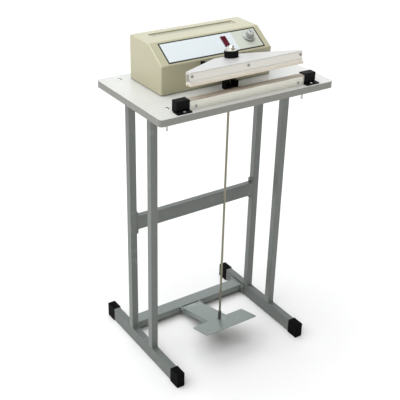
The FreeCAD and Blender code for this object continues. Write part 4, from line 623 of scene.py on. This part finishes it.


# End blocks: grey blocks set a millimetre deep into the open ends of the upper bar, a grey
# painted shade standing in for the inside of the bar's hollow. Their edges are slightly rounded,
# and they lift with the jaw.
HOLLOW_SHADE_INSET, HOLLOW_SHADE_LENGTH, BAR_WALL = 0.001, 0.006, 0.002
BAR_FRONT, BAR_REAR, BAR_BASE, BAR_TOP = -0.1555, -0.1385, 0.820, 0.841
low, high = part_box("upper_bar")
hollow_shade_mesh = bmesh.new()
for x in (low.x + HOLLOW_SHADE_INSET + HOLLOW_SHADE_LENGTH / 2, high.x - HOLLOW_SHADE_INSET - HOLLOW_SHADE_LENGTH / 2):
    made = bmesh.ops.create_cube(hollow_shade_mesh, size=1)["verts"]
    bmesh.ops.scale(hollow_shade_mesh, verts=made, vec=(
        HOLLOW_SHADE_LENGTH, BAR_REAR - BAR_FRONT - 2 * BAR_WALL, BAR_TOP - BAR_BASE - 2 * BAR_WALL))
    bmesh.ops.translate(hollow_shade_mesh, verts=made, vec=(
        x, (BAR_FRONT + BAR_REAR) / 2, (BAR_BASE + BAR_TOP) / 2))
bmesh.ops.bevel(hollow_shade_mesh, geom=list(hollow_shade_mesh.edges), offset=0.0006, segments=2, profile=0.5,
                affect="EDGES", material=-1)
bmesh.ops.transform(hollow_shade_mesh, verts=hollow_shade_mesh.verts, matrix=LIFT)
# Painted shade: the blocks' grey stands in for the half-lit inside of the hollow.
new_piece("bar_end_hollow_shade", hollow_shade_mesh,
          finish("hollow_painted_shade", (0.36, 0.345, 0.30), 0.5, grain_scale=1300, cloud=0.1),
          body="jaw_arm", smooth=35)


# Strip holder and silicone strip: a cream moulded rail under the upper bar that grips a tan
# strip of silicone rubber, which presses the bag on the heating strip.
cream_moulding = finish("cream_moulding", (0.74, 0.67, 0.56), 0.5, bump=0.1, grain_scale=1500,
                        cloud=0.05, speckle=0.05)
dress(cream_moulding, "strip_holder")
silicone = finish("tan_silicone", (0.50, 0.38, 0.26), 0.55, bump=0.1, grain_scale=1200,
                  cloud=0.12)
STRIP_MIDDLE, STRIP_HALF = -0.147, 0.005
STRIP_BASE, STRIP_TOP = 0.8107, 0.8157
low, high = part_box("silicone_strip")
strip_mesh = bmesh.new()
made = bmesh.ops.create_cube(strip_mesh, size=1)["verts"]
bmesh.ops.scale(strip_mesh, verts=made, vec=(high.x - low.x, 2 * STRIP_HALF,
                                             STRIP_TOP - STRIP_BASE))
bmesh.ops.translate(strip_mesh, verts=made, vec=(
    (low.x + high.x) / 2, STRIP_MIDDLE, (STRIP_TOP + STRIP_BASE) / 2))
rim = [edge for edge in strip_mesh.edges
       if all(abs(vert.co.z - STRIP_BASE) < 1e-7 for vert in edge.verts)]
bmesh.ops.bevel(strip_mesh, geom=rim, offset=0.0016, segments=6, profile=0.5,
                affect="EDGES", material=-1)
bmesh.ops.transform(strip_mesh, verts=strip_mesh.verts, matrix=LIFT)
new_piece("silicone_bead", strip_mesh, silicone, body="jaw_arm",
          replaced=["silicone_strip"], smooth=40)


# Jaw arms: two flat steel bars painted black, from under the top plate to the hinge shaft.
# The paint is thin in a few rubbed spots.
black_paint = rub(finish("black_paint", (0.006, 0.006, 0.006), 0.4, bump=0.2, shine=0.1,
                         grain_scale=700, cloud=0.2), (0.05, 0.05, 0.05), 0.5, 60)
dress(black_paint, "left_arm", "right_arm")


# Pressure knob: a black moulded knob with a knurled rim, loose on the jaw's plate under a
# bright washer. Turning it sets the pressure of the jaw.
knob_joint = next(joint for joint in frame["joints"] if joint["name"] == "knob_turn")
KNOB_PLACE = Matrix.Translation(knob_joint["pos_m"]) @ Vector(
    knob_joint["axis"]).to_track_quat("Z", "Y").to_matrix().to_4x4()


def fluted(radius, flutes, depth, rings):
    """A fluted wall about Z from scale and height pairs, with the edges of its end."""
    mesh = bmesh.new()
    bmesh.ops.create_circle(mesh, segments=flutes * 4, radius=radius)
    for vert in mesh.verts:
        turn = round((vert.co.to_2d().angle_signed(Vector((1, 0))) % (2 * pi))
                     / (2 * pi) * flutes * 4)
        if turn % 4 in (1, 2):
            vert.co.x *= 1 - depth / radius
            vert.co.y *= 1 - depth / radius
    base = [vert.co.copy() for vert in mesh.verts]
    line = list(mesh.edges)
    order = list(mesh.verts)
    first_scale, first_height = rings[0]
    for vert, start in zip(order, base):
        vert.co = Vector((start.x * first_scale, start.y * first_scale, first_height))
    for scale, height in rings[1:]:
        made = bmesh.ops.extrude_edge_only(mesh, edges=line)["geom"]
        moved = [item for item in made if isinstance(item, bmesh.types.BMVert)]
        for vert in moved:
            below = [edge.other_vert(vert) for edge in vert.link_edges
                     if edge.other_vert(vert) not in moved][0]
            grown = scale / first_scale
            vert.co = Vector((below.co.x * grown, below.co.y * grown, height))
        first_scale = scale
        line = [item for item in made if isinstance(item, bmesh.types.BMEdge)
                and all(vert in moved for vert in item.verts)]
    return mesh, line


KNOB_RADIUS, KNOB_HEIGHT, KNOB_BORE = 0.01775, 0.017, 0.0075
knob_mesh, top_edges = fluted(KNOB_RADIUS, 40, 0.0006, [
    (0.94, 0), (1, 0.001), (1, KNOB_HEIGHT - 0.0016), (0.97, KNOB_HEIGHT - 0.0006),
    (0.9, KNOB_HEIGHT)])
low_edges = [edge for edge in knob_mesh.edges
             if all(abs(vert.co.z) < 1e-7 for vert in edge.verts)]
for z, rim in ((KNOB_HEIGHT, top_edges), (0, low_edges)):
    bore = bmesh.ops.create_circle(knob_mesh, segments=48, radius=KNOB_BORE)["verts"]
    bmesh.ops.translate(knob_mesh, verts=bore, vec=(0, 0, z))
    bore_edges = list({edge for vert in bore for edge in vert.link_edges})
    bmesh.ops.bridge_loops(knob_mesh, edges=rim + bore_edges)
bore_edges = [edge for edge in knob_mesh.edges
              if all(vert.co.to_2d().length < KNOB_BORE + 1e-5 for vert in edge.verts)]
bmesh.ops.bridge_loops(knob_mesh, edges=bore_edges)
bmesh.ops.transform(knob_mesh, verts=knob_mesh.verts, matrix=KNOB_PLACE)
gloss_black = finish("gloss_black_moulding", (0.004, 0.004, 0.004), 0.3, bump=0.04,
                     shine=0.1, grain_scale=1500, cloud=0.1, gloss_spread=0.1)
new_piece("knurled_knob", knob_mesh, gloss_black, body="knob",
          replaced=["pressure_knob"], smooth=40)
chrome = finish("chrome_plate", (0.90, 0.88, 0.81), 0.26, metallic=1, bump=0.02,
                grain_scale=900, cloud_scale=50, cloud=0.06, gloss_spread=0.08)
dress(chrome, "knob_washer", "dome_nut")


# Pull rod: 6 mm bar, yellow zinc plated, threaded at both ends, joined to its foot by a
# sleeve. Round nuts at top and bottom let it lean as the jaw and pedal turn.
def build_thread():
    """A screw thread about a line along Z, as a height, between two heights of the piece."""
    tree, entry, leave = shader_group("screw_thread", (
        ("Below", "NodeSocketFloat", 0.0), ("Above", "NodeSocketFloat", 1.0),
        ("Pitch count", "NodeSocketFloat", 6283)), (("Height", "NodeSocketFloat"),))
    place = tree.nodes.new("ShaderNodeTexCoord").outputs["Object"]
    parts = tree.nodes.new("ShaderNodeSeparateXYZ")
    tree.links.new(place, parts.inputs[0])
    wave = math_node(tree, "SINE", math_node(tree, "MULTIPLY", parts.outputs["Z"],
                                             entry.outputs["Pitch count"]))
    low_part = math_node(tree, "LESS_THAN", parts.outputs["Z"], entry.outputs["Below"])
    high_part = math_node(tree, "GREATER_THAN", parts.outputs["Z"], entry.outputs["Above"])
    mask = math_node(tree, "MAXIMUM", low_part, high_part)
    tree.links.new(math_node(tree, "MULTIPLY", wave, mask), leave.inputs["Height"])
    return tree


yellow_zinc = finish("yellow_zinc", (0.225, 0.215, 0.155), 0.3, metallic=0.8, bump=0.5,
                     grain_scale=500, cloud_scale=30, cloud=0.4, speckle=0.1,
                     gloss_spread=0.2)
thread = yellow_zinc.node_tree.nodes.new("ShaderNodeGroup")
thread.node_tree = build_thread()
thread.inputs["Below"].default_value = 0.125
thread.inputs["Above"].default_value = 0.845
yellow_zinc.node_tree.links.new(thread.outputs["Height"],
                                yellow_zinc.node_tree.nodes["relief"].inputs["Height"])
dress(yellow_zinc, "pull_rod", "rod_stud")
dress(finish("blackened_steel", (0.13, 0.125, 0.11), 0.4, metallic=0.8, bump=0.15,
             grain_scale=800, cloud_scale=50, cloud=0.3), "rod_coupling")
dress(zinc, "rod_end_nut")


# Pedal: one T-shaped steel sheet with its sides turned down, in grey enamel that is rubbed
# on the tread. It hinges on a pin through the two lugs.
pedal_enamel = rub(finish("pedal_enamel", (0.20, 0.235, 0.215), 0.3, bump=0.12, coat=0.15,
                          grain_scale=420, cloud=0.06, speckle=0.08), (0.32, 0.35, 0.33),
                   0.6, 22)
dress(pedal_enamel, "pedal_plate")
dress(zinc, "pedal_hinge_pin")


# Housing: a folded sheet steel cover in cream stove enamel over a zinc plated tray, on four
# rubber feet, closed at the rear by four screws. The groove on its top has painted shade on its
# floor and painted light on its walls, for how the light falls into it.
cream_enamel = finish("cream_enamel", (0.505, 0.473, 0.318), 0.36, bump=0.25, coat=0.3,
                      grain_scale=330, cloud_scale=5, cloud=0.05, speckle=0.06,
                      gloss_spread=0.12)
TRAY_MIDDLE, TRAY_HALF_LENGTH, TRAY_HALF_WIDTH = (-0.014, 0.067), 0.128, 0.013
HOUSING_TOP, TRAY_DEPTH = 0.900, 0.003
tree = cream_enamel.node_tree
parts = tree.nodes.new("ShaderNodeSeparateXYZ")
tree.links.new(tree.nodes.new("ShaderNodeTexCoord").outputs["Object"], parts.inputs[0])
beside = [math_node(tree, "LESS_THAN", math_node(
    tree, "ABSOLUTE", math_node(tree, "SUBTRACT", parts.outputs[axis], middle)), half + 0.0002)
    for axis, middle, half in (("X", TRAY_MIDDLE[0], TRAY_HALF_LENGTH),
                               ("Y", TRAY_MIDDLE[1], TRAY_HALF_WIDTH))]
over_tray = math_node(tree, "MULTIPLY", *beside)
sunk = math_node(tree, "LESS_THAN", parts.outputs["Z"], HOUSING_TOP - 0.0002)
above_floor = math_node(tree, "GREATER_THAN", parts.outputs["Z"],
                        HOUSING_TOP - TRAY_DEPTH - 0.0002)
in_tray = math_node(tree, "MULTIPLY", over_tray,
                    math_node(tree, "MULTIPLY", sunk, above_floor))
to_wall = math_node(tree, "GREATER_THAN", parts.outputs["Z"],
                    HOUSING_TOP - TRAY_DEPTH + 0.0002)
# Painted shade: a darker colour on the groove's floor. Painted light: a paler colour on its
# walls.
groove_painted_shade_and_light = tree.nodes.new("ShaderNodeMix")
groove_painted_shade_and_light.data_type = "RGBA"
tree.links.new(to_wall, groove_painted_shade_and_light.inputs["Factor"])
groove_painted_shade_and_light.inputs["A"].default_value = (0.40, 0.385, 0.28, 1)
groove_painted_shade_and_light.inputs["B"].default_value = (0.70, 0.67, 0.50, 1)
groove_shade_mix = tree.nodes.new("ShaderNodeMix")
groove_shade_mix.data_type = "RGBA"
tree.links.new(in_tray, groove_shade_mix.inputs["Factor"])
tree.links.new(tree.nodes["grain"].outputs["Color"], groove_shade_mix.inputs["A"])
tree.links.new(groove_painted_shade_and_light.outputs["Result"], groove_shade_mix.inputs["B"])
tree.links.new(groove_shade_mix.outputs["Result"], tree.nodes["Principled BSDF"].inputs["Base Color"])
dress(cream_enamel, "housing_cover")
dress(zinc, "housing_base")
dress(finish("foot_rubber", (0.02, 0.02, 0.02), 0.8, bump=0.3, grain_scale=900, cloud=0.2),
      "housing_feet")
low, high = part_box("housing_screws")
rear_screw = headed(SCREW_SHANK, 0.008, SCREW_HEAD, SCREW_RISE, CROSS, CROSS_DEPTH)
screw_mesh = bmesh.new()
for step in range(4):
    x = low.x + SCREW_HEAD + (high.x - low.x - 2 * SCREW_HEAD) * step / 3
    add_copy(screw_mesh, rear_screw,
             facing((x, high.y - SCREW_RISE, (low.z + high.z) / 2), (0, -1, 0)))
drop(rear_screw)
new_piece("housing_screw_set", screw_mesh, zinc,
          replaced=["housing_screws"], smooth=35)
dress(moulding, "cable_gland")


# Label plate: a satin printed sheet on the slope, bare inside its thin black edge line. Its
# left field is bluish white and its right end a light cream.
low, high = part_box("housing_cover")
SLOPE_FOOT = Vector((0, low.y, 0.859))
SLOPE_ANGLE = 0.57985
SLOPE = Matrix.Translation(SLOPE_FOOT) @ Matrix.Rotation(SLOPE_ANGLE, 4, "X")
LABEL_MIDDLE, LABEL_OFFSET = -0.011, 0.037
LABEL_HALF_WIDTH, LABEL_HALF_HEIGHT = 0.145, 0.032
LINE_WIDTH = 0.0035
FIELD_END = 0.057
label_print = finish("label_print", (0.725, 0.765, 0.765), 0.38, bump=0.03, coat=0.2,
                     grain_scale=1800, cloud_scale=12, cloud=0.03, speckle=0.02)
tree = label_print.node_tree
place = tree.nodes.new("ShaderNodeTexCoord").outputs["Object"]
flat = tree.nodes.new("ShaderNodeMapping")
flat.inputs["Location"].default_value = SLOPE.inverted().to_translation()
flat.inputs["Rotation"].default_value = SLOPE.inverted().to_euler()
tree.links.new(place, flat.inputs["Vector"])
parts = tree.nodes.new("ShaderNodeSeparateXYZ")
tree.links.new(flat.outputs[0], parts.inputs[0])
from_side = math_node(tree, "SUBTRACT", LABEL_HALF_WIDTH, math_node(
    tree, "ABSOLUTE", math_node(tree, "SUBTRACT", parts.outputs["X"], LABEL_MIDDLE)))
from_end = math_node(tree, "SUBTRACT", LABEL_HALF_HEIGHT, math_node(
    tree, "ABSOLUTE", math_node(tree, "SUBTRACT", parts.outputs["Y"], LABEL_OFFSET)))
edge_line = math_node(tree, "LESS_THAN", math_node(tree, "MINIMUM", from_side, from_end),
                      LINE_WIDTH)
field = tree.nodes.new("ShaderNodeMix")
field.data_type = "RGBA"
tree.links.new(math_node(tree, "GREATER_THAN", parts.outputs["X"], FIELD_END),
               field.inputs["Factor"])
tree.links.new(tree.nodes["grain"].outputs["Color"], field.inputs["A"])
field.inputs["B"].default_value = (0.615, 0.625, 0.535, 1)
edged = tree.nodes.new("ShaderNodeMix")
edged.data_type = "RGBA"
tree.links.new(edge_line, edged.inputs["Factor"])
tree.links.new(field.outputs["Result"], edged.inputs["A"])
edged.inputs["B"].default_value = (0.012, 0.014, 0.010, 1)
tree.links.new(edged.outputs["Result"], tree.nodes["Principled BSDF"].inputs["Base Color"])
dress(label_print, "label_plate")


# Switch: a dark red moulded body with a rounded rim, clipped through the label, and a rocker
# of a brighter red that rests with one end down.
SWITCH_X, SWITCH_OFFSET = 0.028, 0.040
SWITCH_HALF, SWITCH_LONG = 0.008, 0.0165
LABEL_THICK = 0.0006


def rounded_block(mesh, half_x, half_y, low_z, high_z, corner, edge):
    """A block on the slope's plane with round corners and a rounded top edge."""
    made = bmesh.ops.create_cube(mesh, size=1)["verts"]
    bmesh.ops.scale(mesh, verts=made, vec=(2 * half_x, 2 * half_y, high_z - low_z))
    bmesh.ops.translate(mesh, verts=made, vec=(0, 0, (high_z + low_z) / 2))
    uprights = [e for e in {e for v in made for e in v.link_edges}
                if abs(e.verts[0].co.z - e.verts[1].co.z) > 1e-6]
    bmesh.ops.bevel(mesh, geom=uprights, offset=corner, segments=5, profile=0.5,
                    affect="EDGES", material=-1)
    top = [e for e in mesh.edges if all(abs(v.co.z - high_z) < 1e-7 for v in e.verts)
           and all(abs(v.co.x) <= half_x + 1e-6 for v in e.verts)]
    bmesh.ops.bevel(mesh, geom=top, offset=edge, segments=3, profile=0.5,
                    affect="EDGES", material=-1)


switch_mesh = bmesh.new()
rounded_block(switch_mesh, SWITCH_HALF, SWITCH_LONG, LABEL_THICK, LABEL_THICK + 0.002, 0.0016,
              0.0007)
top_face = max(switch_mesh.faces, key=lambda face: face.calc_center_median().z * 10
               + face.calc_area())
bmesh.ops.inset_region(switch_mesh, faces=[top_face], thickness=0.0016)
well = bmesh.ops.extrude_discrete_faces(switch_mesh, faces=[top_face])["faces"][0]
bmesh.ops.translate(switch_mesh, verts=well.verts, vec=(0, 0, -0.0075))
bmesh.ops.transform(switch_mesh, verts=switch_mesh.verts,
                    matrix=SLOPE @ Matrix.Translation((SWITCH_X, SWITCH_OFFSET, 0)))
dark_moulding = finish("dark_red_moulding", (0.10, 0.008, 0.020), 0.35, bump=0.08,
                       grain_scale=1200, cloud=0.1)
new_piece("switch_frame", switch_mesh, dark_moulding,
          replaced=["switch_body"], smooth=35)
red_lens = finish("red_lens", (0.13, 0.006, 0.020), 0.22, bump=0.03, coat=0.3,
                  grain_scale=900, cloud=0.1)
dress(red_lens, "switch_rocker")


# Timer dial: a grey moulded knob on the timer's shaft, with a fluted grip, a wide skirt and
# a dark pointer line. A plain scale of twenty-one strokes is printed on the label round it.
DIAL_STAND = LABEL_THICK + 0.0028
DIAL = SLOPE @ Matrix.Translation((0.101, 0.041, DIAL_STAND))
dial_mesh, top_edges = fluted(0.0105, 18, 0.0009, [
    (1.12, 0.0036), (1.0, 0.006), (0.97, 0.0145), (0.93, 0.0156), (0.86, 0.016)])
bmesh.ops.contextual_create(dial_mesh, geom=top_edges)
skirt = spun([(0.003, 0), (0.0149, 0), (0.015, 0.0002), (0.015, 0.0012), (0.0147, 0.0016),
              (0.0115, 0.0040), (0.003, 0.0042)], 48)
skirt_data = bpy.data.meshes.new("skirt")
skirt.to_mesh(skirt_data)
skirt.free()
add_copy(dial_mesh, skirt_data, Matrix())
drop(skirt_data)
bmesh.ops.transform(dial_mesh, verts=dial_mesh.verts, matrix=DIAL)
grey_moulding = finish("grey_moulding", (0.44, 0.45, 0.42), 0.35, bump=0.08, coat=0.2,
                       grain_scale=1400, cloud=0.08)
new_piece("dial_knob", dial_mesh, grey_moulding, body="dial",
          replaced=["timer_knob"], smooth=35)
pointer_mesh = bmesh.new()
rounded_block(pointer_mesh, 0.0009, 0.0042, 0.0158, 0.0163, 0.0003, 0.0001)
bmesh.ops.transform(pointer_mesh, verts=pointer_mesh.verts,
                    matrix=DIAL @ Matrix.Translation((0, 0.0042, 0)))
pointer_paint = finish("pointer_paint", (0.02, 0.02, 0.02), 0.5, grain_scale=900)
new_piece("dial_pointer", pointer_mesh, pointer_paint, body="dial")
SCALE_RADIUS, SCALE_STEP, SCALE_END = 0.0168, 15, 150
scale_mesh = bmesh.new()
for step in range(2 * SCALE_END // SCALE_STEP + 1):
    long_tick = step % 2 == 0
    length, width = (0.0030, 0.0007) if long_tick else (0.0018, 0.0004)
    made = bmesh.ops.create_cube(scale_mesh, size=1)["verts"]
    bmesh.ops.scale(scale_mesh, verts=made, vec=(width, length, 0.0001))
    bmesh.ops.translate(scale_mesh, verts=made, vec=(0, SCALE_RADIUS + length / 2,
                                                     LABEL_THICK - DIAL_STAND + 0.00004))
    bmesh.ops.rotate(scale_mesh, verts=made, cent=(0, 0, 0),
                     matrix=Matrix.Rotation(radians(SCALE_END - SCALE_STEP * step), 3,
                                            "Z"))
bmesh.ops.transform(scale_mesh, verts=scale_mesh.verts, matrix=DIAL)
new_piece("dial_scale", scale_mesh, finish("scale_print", (0.2, 0.21, 0.19), 0.5,
                                           grain_scale=900))
dress(zinc, "timer_shaft", "timer_control")


# Inside the housing: transformer, timer board, microswitch, and the brackets and shaft that
# the jaw turns on. They are hidden with the cover on.
dress(finish("iron_core", (0.09, 0.09, 0.1), 0.5, metallic=0.5, grain_scale=900,
             stretch=(1, 0.05, 1)), "transformer")
dress(finish("circuit_green", (0.03, 0.14, 0.06), 0.4, grain_scale=600), "timer_board")
dress(moulding, "microswitch")
dress(zinc, "pivot_brackets", "pivot_shaft")


# Return springs: two short extension springs of hard drawn wire, with a round loop at each
# end. The lower loops hook into the brackets and the upper ones into the arms' tails.
WIRE, COIL_RADIUS = 0.0006, 0.0052
TURNS, TURN_STEPS = 2.5, 24
low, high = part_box("return_springs")
LOOP_SHIFT = COIL_RADIUS + WIRE
spring_y = (low.y + high.y) / 2
anchor_z, hook_z = low.z + WIRE, high.z - WIRE
coil_start, coil_end = anchor_z + 2 * COIL_RADIUS, hook_z - 2 * COIL_RADIUS
spring_mesh = bmesh.new()


def bent_wire(mesh, start, turn, cent, axis, angle, steps, rise=0.0):
    """A round wire swept about an axis from a start point, with its ends left open or met."""
    made = bmesh.ops.create_circle(mesh, segments=8, radius=WIRE, matrix=turn)["verts"]
    bmesh.ops.translate(mesh, verts=made, vec=start)
    rim = list({edge for vert in made for edge in vert.link_edges})
    bmesh.ops.spin(mesh, geom=made + rim, cent=cent, axis=axis, angle=angle, steps=steps,
                   dvec=(0, 0, rise / steps), use_merge=rise == 0)


for x in (low.x + LOOP_SHIFT, high.x - LOOP_SHIFT):
    for z in (anchor_z + COIL_RADIUS, hook_z - COIL_RADIUS):
        bent_wire(spring_mesh, (x + COIL_RADIUS, spring_y, z), Matrix(), (x, spring_y, z),
                  (0, 1, 0), 2 * pi, 32)
    bent_wire(spring_mesh, (x + COIL_RADIUS, spring_y, coil_start + WIRE),
              Matrix.Rotation(pi / 2, 4, "X"), (x, spring_y, 0), (0, 0, 1),
              2 * pi * TURNS, int(TURN_STEPS * TURNS), coil_end - coil_start - 2 * WIRE)
    for z, side in ((coil_start + WIRE, 1), (coil_end - WIRE, -1)):
        across = bmesh.ops.create_cone(
            spring_mesh, cap_ends=True, segments=8, radius1=WIRE, radius2=WIRE,
            depth=COIL_RADIUS, matrix=Matrix.Rotation(pi / 2, 4, "Y"))["verts"]
        bmesh.ops.translate(spring_mesh, verts=across,
                            vec=(x + side * COIL_RADIUS / 2, spring_y, z))
bmesh.ops.remove_doubles(spring_mesh, verts=spring_mesh.verts, dist=1e-6)
bmesh.ops.holes_fill(spring_mesh, edges=[edge for edge in spring_mesh.edges
                                         if edge.is_boundary], sides=8)
spring_piece = new_piece("wound_springs", spring_mesh,
                         finish("spring_steel", (0.4, 0.4, 0.39), 0.3, metallic=1,
                                grain_scale=900, speckle=0.1), body=None,
                         replaced=["return_springs"], smooth=50)
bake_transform(spring_piece)
